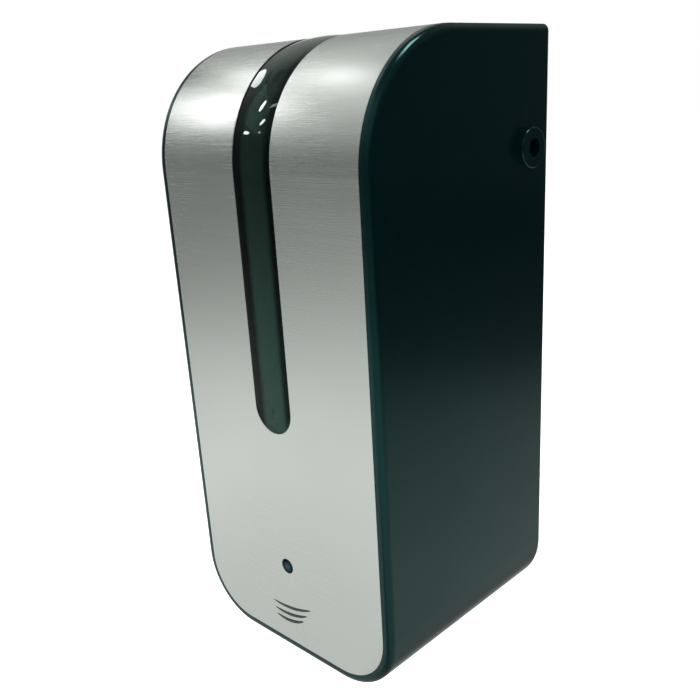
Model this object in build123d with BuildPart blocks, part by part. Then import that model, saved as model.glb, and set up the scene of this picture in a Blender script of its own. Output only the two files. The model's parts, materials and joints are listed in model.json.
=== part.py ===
from build123d import *
import math
import os

# Automatic soap dispenser for a wall: a hinged moulded cover with a wrapped steel front,
# a soap tank, a geared tube pump, a battery tray and the sensor electronics.
# Millimetres. +Z is up and the front faces -Y. The wall is the plane Y = 0, and the origin
# is the centre of the four wall screws. A depth is measured forward from the wall, and a
# height upward from the housing's bottom.

# Cover shell. The housing's overall sizes follow from what it holds, below.
crown_radius = 49
foot_radius = 30
rim_round = 3
cover_wall = 2.5
cover_side_gap = 4
cover_front_gap = 6.9
bottom_gap_width = 50
bottom_gap_back = 32
bottom_gap_corner = 6
overrun = 1

# Hinge at the foot of the wall plate
hinge_setback = 8
hinge_height = 7
hinge_pin_radius = 1.5
hinge_pin_clearance = 0.05
knuckle_radius = 3.8
knuckle_width = 6
knuckle_reach = 38
lug_width = 7
knuckle_gap = 0.5
pin_head_recess = 0.5

# Steel front and its slot
plate_thickness = 0.8
plate_margin = 4.5
plate_gap = 0.25
bond_gap = 0.15
plate_back = 14
slot_width = 22
slot_drop = 1
slot_back = 30

# Window behind the slot
window_gap = 0.15
window_wall = 1.8
window_proud = 0.4
window_edge_inset = 0.4
window_flange_width = 30
window_flange_thickness = 1.4
window_seat_gap = 0.1

# Indicator eye
eye_drop = 7.9
eye_radius = 3.5
eye_gap = 0.1
eye_proud = 0.5
eye_edge = 0.2
eye_flange_radius = 5
eye_flange_thickness = 1.2

# Lock and latch on the right side
lock_depth = 15.5
lock_drop = 47
lock_radius = 8.2
lock_proud = 3.5
lock_round = 0.8
lock_bore_radius = 3.7
lock_stem_radius = 5.5
lock_stem_gap = 0.1
lock_tail = 0.8
latch_pivot_depth = 26
latch_offset = 4.5
latch_thickness = 2.4
latch_width = 9
latch_front = 39
latch_back = 4.2
latch_pin_radius = 1
latch_pin_clearance = 0.05
latch_boss_radius = 2.6
latch_tooth_front = 9
latch_tooth_back = 5.6
latch_tooth_reach = 3.3
latch_tooth_land = 0.6
ear_thickness = 2.4
ear_gap = 0.3
ear_radius = 2.5
spring_depth = 35
spring_radius = 2.2
spring_wire = 0.35
spring_turns = 4
spring_gap = 0.1

# Wall plate
plate_inset_gap = 1
wall_plate_thickness = 3
wall_plate_foot = 22
lip_thickness = 2
lip_depth = 6
lip_foot_inset = 10
screw_inset = 6
screw_end_margin = 67.5
screw_hole_radius = 2.5
screw_boss_radius = 5.5
screw_boss_depth = 4.5
catch_height = 22
catch_depth = 11
catch_window_height = 12
catch_window_back = 4.6
catch_window_front = 9.6
hanger_spacing = 60
hanger_width = 2.5
hanger_margin = 15
hanger_gap = 0.2

# Soap tank and its cap
tank_side_gap = 9
tank_front_gap = 8.5
tank_back = 9
tank_height = 136
tank_headroom = 19
tank_crown = 36
tank_corner = 10
tank_edge = 8
tank_wall = 1.8
filler_depth = 40
filler_radius = 20
filler_wall = 2
filler_height = 3.4
cap_gap = 0.3
cap_wall = 2
cap_height = 7.6
cap_grips = 18
cap_grip_radius = 1
cap_handle_width = 4
cap_handle_height = 1.6
cap_handle_round = 1.3
seal_thickness = 0.7
seal_gap = 0.05
outlet_radius = 8
outlet_wall = 2
outlet_length = 8

# Tube from the tank through the pump to the nozzle
tube_radius = 3
tube_bore = 1.5
barb_gap = 0.05
barb_wall = 0.7
barb_length = 7
outlet_cap_wall = 2
outlet_cap_gap = 0.1
tube_end_gap = 0.2
tube_squash_start = 8
tube_squash_end = 4
squeezed_thickness = 3.2
squeezed_width = 7.8

# Pump head
pump_foot_gap = 12
pump_x = 20
race_radius = 20
race_wall = 4
race_gap = 0.05
pump_cover_thickness = 2
race_ear_radius = 3.6
shaft_end = 1.5
bush_flange = 1
roller_radius = 4.2
roller_length = 8
roller_gap = 0.3
roller_count = 3
roller_side_gap = 0.2
roller_pin_radius = 1
roller_pin_clearance = 0.05
carrier_radius = 14
carrier_thickness = 1.6
carrier_back_gap = 0.7
carrier_front_gap = 0.35
carrier_hub_radius = 5
shaft_radius = 2.5
shaft_clearance = 0.05
shaft_fit = 0.02
bush_radius = 4.5

# Gear train
gear_module = 0.7
pressure_angle = 20
tooth_backlash = 0.12
tooth_root_factor = 1.25
rotor_teeth = 42
idler_small_teeth = 14
idler_large_teeth = 42
pinion_teeth = 12
gear_width = 6
gear_overlap = 1
idler_angle = 155
pinion_angle = 180
gear_chassis_gap = 2
idler_gear_step = 1
gear_hub_radius = 5
gear_web_recess = 1.6
gear_rim_wall = 2
idler_axle_radius = 1.5
idler_axle_clearance = 0.05
axle_end = 1.2

# Motor
motor_radius = 12
motor_length = 27
motor_boss_radius = 3
motor_boss_length = 1.5
motor_shaft_radius = 1
motor_round = 1.2
motor_seat_gap = 0.1
terminal_width = 3
terminal_thickness = 0.8
terminal_length = 1.6
terminal_spacing = 14
motor_cap_length = 4
motor_cap_step = 0.6

# Drive chassis
chassis_depth = 38
chassis_wall = 2.5
chassis_margin = 2
chassis_bottom = 14
chassis_box_gap = 1
chassis_top_gap = 3
chassis_back = 3.2
foot_rise = 21
foot_drop = 12
chassis_foot_length = 8.5
chassis_foot_height = 10
chassis_foot_thickness = 2.5
foot_screw_inset = 4
screw_radius = 1.5
screw_head_radius = 2.8
screw_head_height = 1.6
screw_gap = 0.1
screw_recess_width = 0.8
screw_recess_depth = 0.7
shelf_height = 3.2
shelf_thickness = 2
shelf_tail = 9
shelf_width = 56
shelf_gap = 0.2
nozzle_radius = 5
nozzle_tip_radius = 3
nozzle_tip_height = 0.6
nozzle_flange_radius = 6.5
nozzle_flange_thickness = 1.5
nozzle_bore = 1.2
nozzle_gap = 0.1

# Battery tray, cells and door
cell_radius = 13.1
cell_length = 50
cell_button_radius = 3
cell_button_height = 1.6
cell_gap = 0.3
cell_edge = 1
tray_wall = 1.8
tray_motor_gap = 0.8
contact_thickness = 0.4
contact_size = 13
contact_spring = 0.8
contact_dome_radius = 4.3
tray_top_gap = 0.2
rail_lip = 1.5
rail_thickness = 1.4
door_gap = 0.2
door_thickness = 1.8
door_side_gap = 3
door_rib_count = 5
door_rib_spacing = 4
door_rib_height = 14
door_rib_width = 1.2
door_rib_proud = 0.8
door_rib_round = 0.4
arm_gap = 0.2
arm_thickness = 2.5
arm_height = 24
arm_tail = 20
arm_drop = 25.8

# Electronics case
case_side_gap = 22.5
case_front_gap = 7
case_bottom = 3.2
case_height = 49.2
case_wall = 1.6
case_corner = 6
case_top_gap = 0.2
board_gap = 5
board_thickness = 1.6
board_margin = 1.5
led_radius = 2.5
led_length = 7
led_gap = 0.2
chip_size = 9
chip_height = 1.5
relay_size = 7
relay_height = 4
sensor_inset = 17.5
sensor_window_width = 26
sensor_window_length = 12
sensor_window_thickness = 1.2
sensor_gap = 0.15
emitter_radius = 2.5
emitter_spacing = 12
emitter_length = 6
emitter_board_margin = 1.25
switch_inset = 12
switch_height = 28
switch_width = 13
switch_tall = 6.5
switch_knob_width = 4
switch_knob_tall = 3.6
switch_knob_proud = 1.6
switch_travel = 4
switch_gap = 0.15
switch_frame_thickness = 1.2
switch_body_depth = 4

# Depths in the order in which the pieces stand in front of the wall
rotor_gear_depth = chassis_depth - gear_chassis_gap - gear_width
shelf_back = chassis_depth - shelf_tail
arm_back = chassis_depth - arm_tail
chassis_front = chassis_depth + chassis_wall
carrier_half = roller_length / 2 + roller_side_gap
tube_depth = chassis_front + carrier_back_gap + carrier_thickness + carrier_half
race_front = tube_depth + carrier_half + carrier_thickness + carrier_front_gap
race_depth = race_front - chassis_front - race_gap
motor_back = chassis_front + motor_seat_gap
tray_back = motor_back + motor_length + terminal_length + tray_motor_gap
cell_pitch = 2 * (cell_radius + cell_gap)
tray_front = tray_back + tray_wall + cell_pitch
rail_front = tray_front + door_gap + door_thickness + door_rib_proud + door_gap
front_inner = rail_front + cover_front_gap
housing_depth = front_inner + cover_wall

# Widths from the middle outwards
race_outer = race_radius + race_wall
chassis_half_width = pump_x + race_outer + chassis_margin
tray_half = cell_length + 2 * cell_gap + contact_thickness + contact_spring + tray_wall
inner_half = max(tray_half, chassis_half_width + chassis_foot_length) + cover_side_gap
half_width = inner_half + cover_wall
housing_width = 2 * half_width

# Heights from the foot upwards
case_top = case_bottom + case_height
tray_bottom = case_top + case_top_gap
tray_top = tray_bottom + 2 * tray_wall + 2 * cell_pitch
tank_bottom = tray_top + tray_top_gap
tank_top = tank_bottom + tank_height
housing_height = tank_top + tank_headroom
chassis_top = tank_bottom - outlet_length - outlet_cap_wall - chassis_top_gap
wall_gap = hinge_setback - hinge_height

# Sizes that line up with the housing
tank_width = 2 * (inner_half - tank_side_gap)
tank_front = front_inner - tank_front_gap
case_width = 2 * (inner_half - case_side_gap)
case_half = case_width / 2
case_back = tray_back
case_front = front_inner - case_front_gap
sensor_depth = case_front - sensor_inset
bottom_gap_front = sensor_depth + sensor_window_length
slot_bottom = tank_bottom - slot_drop
eye_height = case_top - eye_drop
lock_height = housing_height - lock_drop
screw_spacing_z = housing_height - 2 * screw_end_margin
pump_height = chassis_bottom + race_outer + pump_foot_gap
foot_heights = (chassis_bottom + foot_rise, chassis_top - foot_drop)
arm_level = tray_top - arm_drop
switch_x = case_half - switch_inset


def up(height):
    """Z of a height measured from the housing's bottom."""
    return height - housing_height / 2


def facing(depth):
    """Plane parallel to the wall at a depth, with its normal pointing forward."""
    return Plane.XZ.offset(depth)


def side_face(front, back, bottom, top, crown, heel=0, corner=0):
    """Face in the side view between two depths and two heights, its front top corner round."""
    with BuildSketch(Plane.YZ) as sketch:
        with Locations((-(front + back) / 2, up((bottom + top) / 2))):
            Rectangle(front - back, top - bottom)
        upper = sketch.vertices().group_by(Axis.Y)[-1].sort_by(Axis.X)
        lower = sketch.vertices().group_by(Axis.Y)[0].sort_by(Axis.X)
        fillet(upper[0], crown)
        if corner:
            fillet([upper[-1], *lower], corner)
        if heel:
            fillet(lower[-1], heel)
    return sketch.sketch


def front_face(inset, depth):
    """Housing's front outline at a depth, its sides and foot drawn inwards by inset."""
    with BuildSketch(facing(depth)) as sketch:
        height = housing_height + overrun - inset
        with Locations((0, up(inset + height / 2))):
            Rectangle(housing_width - 2 * inset, height)
        fillet(sketch.vertices().group_by(Axis.Y)[0], foot_radius - inset)
    return sketch.sketch


def profile_at(inset):
    """Side face of the housing drawn inwards by inset, open ended behind the wall plane."""
    return side_face(housing_depth - inset, -overrun, inset, housing_height - inset,
                     crown_radius - inset)


def front_skin(outer, inner, margin, back):
    """Band over the front and the crown between two insets, drawn in from the outline."""
    with BuildPart() as band:
        extrude(profile_at(outer), amount=half_width, both=True)
        extrude(profile_at(inner), amount=housing_width, both=True, mode=Mode.SUBTRACT)
        extrude(front_face(margin, back), amount=housing_depth, mode=Mode.INTERSECT)
    return band.part


def slot_cutter(grow):
    """Solid that cuts the slot through the front and over the crown, grown on every side."""
    radius = slot_width / 2 + grow
    low_end = slot_bottom + slot_width / 2
    back_end = slot_back + slot_width / 2
    with BuildPart() as cutter:
        with BuildSketch(facing(back_end)):
            with Locations((0, up((low_end + housing_height + overrun) / 2))):
                Rectangle(2 * radius, housing_height + overrun - low_end)
            with Locations((0, up(low_end))):
                Circle(radius)
        extrude(amount=housing_depth)
        with BuildSketch(Plane.XY.offset(up(housing_height - crown_radius / 2))):
            with Locations((0, -back_end)):
                Circle(radius)
        extrude(amount=crown_radius)
    return cutter.part


def involute_gear(teeth, phase, depth, width):
    """Spur gear in a plane parallel to the wall, with a tooth at the phase angle."""
    pitch = gear_module * teeth / 2
    tip = pitch + gear_module
    root = pitch - tooth_root_factor * gear_module
    base = pitch * math.cos(math.radians(pressure_angle))

    def involute(radius):
        roll = math.acos(min(1, base / radius))
        return math.tan(roll) - roll

    half_pitch = math.pi / (2 * teeth) - tooth_backlash / (2 * pitch)
    flank = []
    steps = 3
    start = max(base, root)
    for step in range(steps + 1):
        radius = start + (tip - start) * step / steps
        angle = half_pitch + involute(pitch) - involute(radius)
        flank.append((radius * math.cos(angle), radius * math.sin(angle)))
    foot_angle = half_pitch + involute(pitch) - involute(start)
    sunk = root * math.cos(math.pi / teeth)
    flank.insert(0, (sunk * math.cos(foot_angle), sunk * math.sin(foot_angle)))
    outline = flank + [(x, -y) for x, y in reversed(flank)]
    with BuildSketch(facing(depth)) as sketch:
        Circle(root)
        with PolarLocations(0, teeth, start_angle=phase):
            Polygon(*outline, align=None)
    with BuildPart() as gear:
        extrude(sketch.sketch, amount=width)
    return gear.part


def save(part, name):
    """Label a finished piece and write it as a STEP file."""
    part.label = name
    export_step(part, f"parts/{name}.step")


os.makedirs("parts", exist_ok=True)

# Cover shell: the moulded housing that swings down from the wall plate
hinge_axis = (-hinge_setback, up(hinge_height))
lever_outer = inner_half - latch_offset
lever_inner = lever_outer - latch_thickness
pivot = ((lever_outer + lever_inner) / 2, -latch_pivot_depth)
plate_recess = front_skin(-overrun, plate_thickness + bond_gap, plate_margin - plate_gap,
                          plate_back - plate_gap)
with BuildPart() as cover_shell:
    extrude(side_face(housing_depth, wall_gap, 0, housing_height, crown_radius, hinge_height),
            amount=half_width, both=True)
    extrude(front_face(0, wall_gap), amount=housing_depth, mode=Mode.INTERSECT)
    front_loop = cover_shell.faces().sort_by(Axis.Y)[0].edges().sort_by(Axis.Z)[:-1]
    crown_arcs = cover_shell.edges().filter_by(GeomType.CIRCLE).filter_by(
        lambda edge: math.isclose(edge.radius, crown_radius))
    top_sides = cover_shell.edges().filter_by(Axis.Y).group_by(Axis.Z)[-1]
    fillet([*front_loop, *crown_arcs, *top_sides], rim_round)
    with BuildPart(mode=Mode.PRIVATE) as cavity:
        extrude(profile_at(cover_wall), amount=inner_half, both=True)
        extrude(front_face(cover_wall, -overrun), amount=housing_depth, mode=Mode.INTERSECT)
    add(cavity.part, mode=Mode.SUBTRACT)
    add(plate_recess, mode=Mode.SUBTRACT)
    add(slot_cutter(0), mode=Mode.SUBTRACT)
    with BuildSketch(facing(front_inner - overrun)):
        with Locations((0, up(eye_height))):
            Circle(eye_radius + eye_gap)
    extrude(amount=cover_wall + 2 * overrun, mode=Mode.SUBTRACT)
    with BuildSketch(Plane.XY.offset(up(-overrun))):
        with Locations((0, -(bottom_gap_front + bottom_gap_back) / 2)):
            RectangleRounded(bottom_gap_width, bottom_gap_front - bottom_gap_back,
                             bottom_gap_corner)
    extrude(amount=cover_wall + 2 * overrun, mode=Mode.SUBTRACT)
    with BuildSketch(Plane.YZ.offset(inner_half - overrun)):
        with Locations((-lock_depth, up(lock_height))):
            Circle(lock_stem_radius + lock_stem_gap)
    extrude(amount=cover_wall + 2 * overrun, mode=Mode.SUBTRACT)
    for side in (-1, 1):
        with BuildSketch(Plane.YZ.offset(side * (knuckle_reach - knuckle_width / 2))):
            with Locations(hinge_axis):
                Circle(knuckle_radius)
            with Locations((-hinge_setback, up((hinge_height + cover_wall / 2) / 2))):
                Rectangle(2 * knuckle_radius, hinge_height - cover_wall / 2)
            with Locations(hinge_axis):
                Circle(hinge_pin_radius, mode=Mode.SUBTRACT)
        extrude(amount=knuckle_width / 2, both=True)
    for level in (-1, 1):
        ear_height = lock_height + level * (latch_width + ear_thickness + 2 * ear_gap) / 2
        with BuildSketch(Plane.XY.offset(up(ear_height))):
            with Locations(pivot):
                Circle(ear_radius)
            with Locations(((pivot[0] + inner_half + overrun) / 2, -latch_pivot_depth)):
                Rectangle(inner_half + overrun - pivot[0], 2 * ear_radius)
            with Locations(pivot):
                Circle(latch_pin_radius, mode=Mode.SUBTRACT)
        extrude(amount=ear_thickness / 2, both=True)
save(cover_shell.part, "cover_shell")

# Hinge pins pressed into the cover's knuckles
with BuildPart() as hinge_pins:
    for side in (-1, 1):
        pin_start = knuckle_reach - knuckle_width - knuckle_gap - lug_width
        pin_length = knuckle_reach - pin_head_recess - pin_start
        with BuildSketch(Plane.YZ.offset(side * pin_start)):
            with Locations(hinge_axis):
                Circle(hinge_pin_radius)
        extrude(amount=side * pin_length)
save(hinge_pins.part, "hinge_pins")

# Brushed steel front, wrapped over the crown
with BuildPart() as steel_front:
    add(front_skin(0, plate_thickness, plate_margin, plate_back))
    add(slot_cutter(0), mode=Mode.SUBTRACT)
    with BuildSketch(facing(front_inner)):
        with Locations((0, up(eye_height))):
            Circle(eye_radius + eye_gap)
    extrude(amount=cover_wall + overrun, mode=Mode.SUBTRACT)
save(steel_front.part, "steel_front")


def window_section(half):
    """Cross-section of the window, its crown outward along -Y; half keeps the +X side."""
    edge = slot_width / 2 - window_gap
    seat = cover_wall + window_seat_gap
    inner = edge - window_wall
    flange = window_flange_width / 2
    back = seat + window_flange_thickness
    plane = Plane(origin=(0, -housing_depth, up(slot_bottom + slot_width / 2)),
                  x_dir=(1, 0, 0), z_dir=(0, 0, 1))
    with BuildSketch(plane) as sketch:
        with BuildLine():
            ThreePointArc((-edge, window_edge_inset), (0, -window_proud), (edge, window_edge_inset))
            Polyline((edge, window_edge_inset), (edge, seat), (flange, seat), (flange, back),
                     (inner, back), (inner, window_wall + window_edge_inset))
            ThreePointArc((inner, window_wall + window_edge_inset), (0, window_wall - window_proud),
                          (-inner, window_wall + window_edge_inset))
            Polyline((-inner, window_wall + window_edge_inset), (-inner, back), (-flange, back),
                     (-flange, seat), (-edge, seat), (-edge, window_edge_inset))
        make_face()
        if half:
            with Locations((-window_flange_width / 2, 0)):
                Rectangle(window_flange_width, housing_depth, mode=Mode.SUBTRACT)
    return sketch.sketch


# Smoked window that stands a little proud of the slot
low_end = slot_bottom + slot_width / 2
back_end = slot_back + slot_width / 2
crown_height = housing_height - crown_radius
with BuildPart() as level_window:
    section = window_section(False)
    half_section = window_section(True)
    with BuildLine(Plane.YZ) as slot_path:
        Line((-housing_depth, up(low_end)), (-housing_depth, up(crown_height)))
        CenterArc((crown_radius - housing_depth, up(crown_height)), crown_radius, 180, -90)
        Line((crown_radius - housing_depth, up(housing_height)), (-back_end, up(housing_height)))
    sweep(section, path=slot_path.line)
    revolve(half_section, axis=Axis((0, 0, up(low_end)), (0, 1, 0)), revolution_arc=180)
    top_section = half_section.rotate(Axis((0, -housing_depth, up(low_end)), (1, 0, 0)), -90)
    top_section = top_section.translate((0, housing_depth - back_end,
                                         housing_height - low_end))
    revolve(top_section, axis=Axis((0, -back_end, 0), (0, 0, 1)), revolution_arc=180)
save(level_window.part, "level_window")

# Indicator eye
dome_height = eye_proud + eye_edge
dome_radius = (eye_radius ** 2 + dome_height ** 2) / (2 * dome_height)
dome_angle = math.degrees(math.asin(eye_radius / dome_radius))
eye_foot = front_inner - eye_flange_thickness
eye_level = up(eye_height)
with BuildPart() as eye_lens:
    with BuildSketch(Plane.YZ):
        with BuildLine():
            Polyline((-housing_depth - eye_proud, eye_level), (-eye_foot, eye_level),
                     (-eye_foot, eye_level + eye_flange_radius),
                     (-front_inner, eye_level + eye_flange_radius),
                     (-front_inner, eye_level + eye_radius),
                     (eye_edge - housing_depth, eye_level + eye_radius))
            CenterArc((dome_radius - housing_depth - eye_proud, eye_level), dome_radius,
                      180 - dome_angle, dome_angle)
        make_face()
    revolve(axis=Axis((0, 0, eye_level), (0, 1, 0)))
save(eye_lens.part, "eye_lens")

# Lock bushing with its key hole
with BuildPart() as lock_bushing:
    with BuildSketch(Plane.YZ.offset(half_width)):
        with Locations((-lock_depth, up(lock_height))):
            Circle(lock_radius)
    extrude(amount=lock_proud)
    fillet(lock_bushing.faces().sort_by(Axis.X)[-1].edges(), lock_round)
    with BuildSketch(Plane.YZ.offset(inner_half - lock_tail)):
        with Locations((-lock_depth, up(lock_height))):
            Circle(lock_stem_radius)
    extrude(amount=cover_wall + lock_tail)
    with BuildSketch(Plane.YZ.offset(inner_half - lock_tail - overrun)):
        with Locations((-lock_depth, up(lock_height))):
            Circle(lock_bore_radius)
    extrude(amount=housing_width, mode=Mode.SUBTRACT)
save(lock_bushing.part, "lock_bushing")

# Latch lever behind the key hole, its tooth in the wall plate's catch
with BuildPart() as latch_lever:
    with BuildSketch(Plane.XY.offset(up(lock_height))):
        with Locations((pivot[0], -(latch_front + latch_back) / 2)):
            Rectangle(latch_thickness, latch_front - latch_back)
        with Locations(pivot):
            Circle(latch_boss_radius)
        with BuildLine():
            Polyline((lever_outer, -latch_tooth_front),
                     (lever_outer + latch_tooth_reach, -latch_tooth_front),
                     (lever_outer + latch_tooth_reach, latch_tooth_land - latch_tooth_front),
                     (lever_outer, -latch_tooth_back), (lever_inner, -latch_tooth_back),
                     (lever_inner, -latch_tooth_front), (lever_outer, -latch_tooth_front))
        make_face()
        with Locations(pivot):
            Circle(latch_pin_radius + latch_pin_clearance, mode=Mode.SUBTRACT)
    extrude(amount=latch_width / 2, both=True)
save(latch_lever.part, "latch_lever")

# Pin that the latch lever turns on
pin_half = latch_width / 2 + ear_gap + ear_thickness
with BuildPart() as latch_pin:
    with BuildSketch(Plane.XY.offset(up(lock_height))):
        with Locations(pivot):
            Circle(latch_pin_radius)
    extrude(amount=pin_half, both=True)
save(latch_pin.part, "latch_pin")

# Spring between the cover's side and the front arm of the latch lever
spring_length = inner_half - lever_outer - 2 * spring_gap
with BuildPart() as latch_spring:
    coil_height = spring_length - 2 * spring_wire
    spring_plane = Plane(origin=(lever_outer + spring_gap + spring_wire, -spring_depth,
                                 up(lock_height)), x_dir=(0, 1, 0), z_dir=(1, 0, 0))
    coil = Helix(pitch=coil_height / spring_turns, height=coil_height,
                 radius=spring_radius - spring_wire)
    coil = coil.moved(spring_plane.location)
    with BuildSketch(Plane(origin=coil @ 0, z_dir=coil % 0)):
        Circle(spring_wire)
    sweep(path=coil, is_frenet=True)
save(latch_spring.part, "latch_spring")

# Wall plate with its lip, screw bosses, tank hangers, latch catch and hinge lugs
plate_half = inner_half - plate_inset_gap
screw_spacing_x = 2 * (plate_half - screw_inset)
hanger_bottom = tank_bottom + hanger_margin
hanger_top = tank_top - hanger_margin
plate_inset = cover_wall + plate_inset_gap
lug_reach = knuckle_reach - knuckle_width - knuckle_gap
foot_x = chassis_half_width + chassis_foot_length - foot_screw_inset
foot_spots = [(side * foot_x, up(height)) for side in (-1, 1) for height in foot_heights]
with BuildPart() as wall_plate:
    extrude(front_face(plate_inset, 0), amount=lip_depth)
    with BuildSketch(facing(wall_plate_thickness)):
        add(front_face(plate_inset + lip_thickness, wall_plate_thickness))
    extrude(amount=lip_depth, mode=Mode.SUBTRACT)
    with BuildSketch(facing(-overrun)):
        with Locations((0, up((wall_plate_foot - housing_height) / 2))):
            Rectangle(housing_width, housing_height + wall_plate_foot)
        with Locations((0, up(housing_height - plate_inset + housing_height / 2))):
            Rectangle(housing_width, housing_height)
    extrude(amount=housing_depth, mode=Mode.SUBTRACT)
    with BuildSketch(facing(0)):
        with Locations((0, up(housing_height - plate_inset - lip_thickness / 2))):
            Rectangle(2 * plate_half, lip_thickness)
        with Locations((0, up(wall_plate_foot + lip_thickness / 2))):
            Rectangle(2 * (plate_half - lip_foot_inset), lip_thickness)
    extrude(amount=lip_depth)
    with BuildSketch(facing(wall_plate_thickness)):
        with GridLocations(screw_spacing_x, screw_spacing_z, 2, 2):
            Circle(screw_boss_radius)
    extrude(amount=screw_boss_depth - wall_plate_thickness)
    with BuildSketch(facing(wall_plate_thickness)):
        with Locations((0, up((hanger_bottom + hanger_top) / 2))):
            with GridLocations(hanger_spacing, 0, 2, 1):
                Rectangle(hanger_width, hanger_top - hanger_bottom)
    extrude(amount=tank_back - hanger_gap - wall_plate_thickness)
    with BuildSketch(facing(wall_plate_thickness)):
        with Locations((plate_half - lip_thickness / 2, up(lock_height))):
            Rectangle(lip_thickness, catch_height)
    extrude(amount=catch_depth - wall_plate_thickness)
    with BuildSketch(Plane.YZ.offset(plate_half - lip_thickness - overrun)):
        with Locations((-(catch_window_back + catch_window_front) / 2, up(lock_height))):
            Rectangle(catch_window_front - catch_window_back, catch_window_height)
    extrude(amount=lip_thickness + 2 * overrun, mode=Mode.SUBTRACT)
    with BuildSketch(facing(-overrun)):
        with GridLocations(screw_spacing_x, screw_spacing_z, 2, 2):
            Circle(screw_hole_radius)
        with Locations(*foot_spots):
            Circle(screw_radius)
    extrude(amount=lip_depth + overrun, mode=Mode.SUBTRACT)
    for side in (-1, 1):
        with BuildSketch(Plane.YZ.offset(side * (lug_reach - lug_width / 2))):
            with Locations(hinge_axis):
                Circle(knuckle_radius)
            with Locations((-hinge_setback, up((hinge_height + wall_plate_foot
                                                + lip_thickness) / 2))):
                Rectangle(2 * knuckle_radius, wall_plate_foot + lip_thickness - hinge_height)
            with Locations((-hinge_setback / 2, up(wall_plate_foot + lip_thickness / 2))):
                Rectangle(hinge_setback, lip_thickness)
            with Locations(hinge_axis):
                Circle(hinge_pin_radius + hinge_pin_clearance, mode=Mode.SUBTRACT)
        extrude(amount=lug_width / 2, both=True)
save(wall_plate.part, "wall_plate")


def tank_form(inset):
    """Tank's outer form drawn inwards by inset on every side."""
    with BuildPart() as form:
        extrude(side_face(tank_front - inset, tank_back + inset, tank_bottom + inset,
                          tank_top - inset, tank_crown - inset, corner=tank_corner - inset),
                amount=tank_width / 2 - inset, both=True)
        ends = form.faces().filter_by(Axis.X).edges()
        fillet(ends, tank_edge - inset)
    return form.part


# Soap tank, hollow, with its filler neck and outlet neck
with BuildPart() as soap_tank:
    add(tank_form(0))
    with BuildSketch(Plane.XY.offset(up(tank_top - tank_wall))):
        with Locations((0, -filler_depth)):
            Circle(filler_radius)
    extrude(amount=tank_wall + filler_height)
    with BuildSketch(Plane.XY.offset(up(tank_bottom + tank_wall))):
        with Locations((0, -tube_depth)):
            Circle(outlet_radius)
    extrude(amount=-tank_wall - outlet_length)
    add(tank_form(tank_wall), mode=Mode.SUBTRACT)
    with BuildSketch(Plane.XY.offset(up(tank_top - tank_wall - overrun))):
        with Locations((0, -filler_depth)):
            Circle(filler_radius - filler_wall)
    extrude(amount=housing_height, mode=Mode.SUBTRACT)
    with BuildSketch(Plane.XY.offset(up(tank_bottom + tank_wall + overrun))):
        with Locations((0, -tube_depth)):
            Circle(outlet_radius - outlet_wall)
    extrude(amount=-housing_height, mode=Mode.SUBTRACT)
save(soap_tank.part, "soap_tank")

# Quarter-turn cap on the filler neck, with grips round its skirt and a bar to turn it by
cap_radius = filler_radius + cap_gap + cap_wall
cap_bottom = tank_top + cap_gap
cap_top = tank_top + cap_height
with BuildPart() as tank_cap:
    with BuildSketch(Plane.XY.offset(up(cap_bottom))):
        with Locations((0, -filler_depth)):
            Circle(cap_radius)
            with PolarLocations(cap_radius, cap_grips):
                Circle(cap_grip_radius, mode=Mode.SUBTRACT)
    extrude(amount=cap_top - cap_handle_height - cap_bottom)
    with BuildSketch(Plane.XY.offset(up(cap_top - cap_handle_height))):
        with Locations((0, -filler_depth)):
            RectangleRounded(2 * filler_radius, cap_handle_width, cap_handle_round)
    extrude(amount=cap_handle_height)
    with BuildSketch(Plane.XY.offset(up(cap_bottom))):
        with Locations((0, -filler_depth)):
            Circle(filler_radius + cap_gap)
    extrude(amount=filler_height + seal_gap + seal_thickness - cap_gap, mode=Mode.SUBTRACT)
save(tank_cap.part, "tank_cap")

# Sealing ring in the cap
with BuildPart() as cap_seal:
    with BuildSketch(Plane.XY.offset(up(tank_top + filler_height + seal_gap))):
        with Locations((0, -filler_depth)):
            Circle(filler_radius)
            Circle(filler_radius - filler_wall, mode=Mode.SUBTRACT)
    extrude(amount=seal_thickness - seal_gap)
save(cap_seal.part, "cap_seal")

# Outlet cap on the tank's neck, with the barb that the tube is pushed onto
neck_end = tank_bottom - outlet_length
barb_start = neck_end - outlet_cap_gap - outlet_cap_wall
barb_radius = tube_bore - barb_gap
with BuildPart() as outlet_cap:
    with BuildSketch(Plane.XY.offset(up(barb_start))):
        with Locations((0, -tube_depth)):
            Circle(outlet_radius + outlet_cap_gap + outlet_cap_wall)
    extrude(amount=outlet_length - outlet_cap_gap)
    with BuildSketch(Plane.XY.offset(up(barb_start + outlet_cap_wall))):
        with Locations((0, -tube_depth)):
            Circle(outlet_radius + outlet_cap_gap)
    extrude(amount=outlet_length, mode=Mode.SUBTRACT)
    with BuildSketch(Plane.XY.offset(up(barb_start))):
        with Locations((0, -tube_depth)):
            Circle(barb_radius)
    extrude(amount=-barb_length)
    with BuildSketch(Plane.XY.offset(up(neck_end))):
        with Locations((0, -tube_depth)):
            Circle(barb_radius - barb_wall)
    extrude(amount=-housing_height, mode=Mode.SUBTRACT)
save(outlet_cap.part, "outlet_cap")

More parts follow.
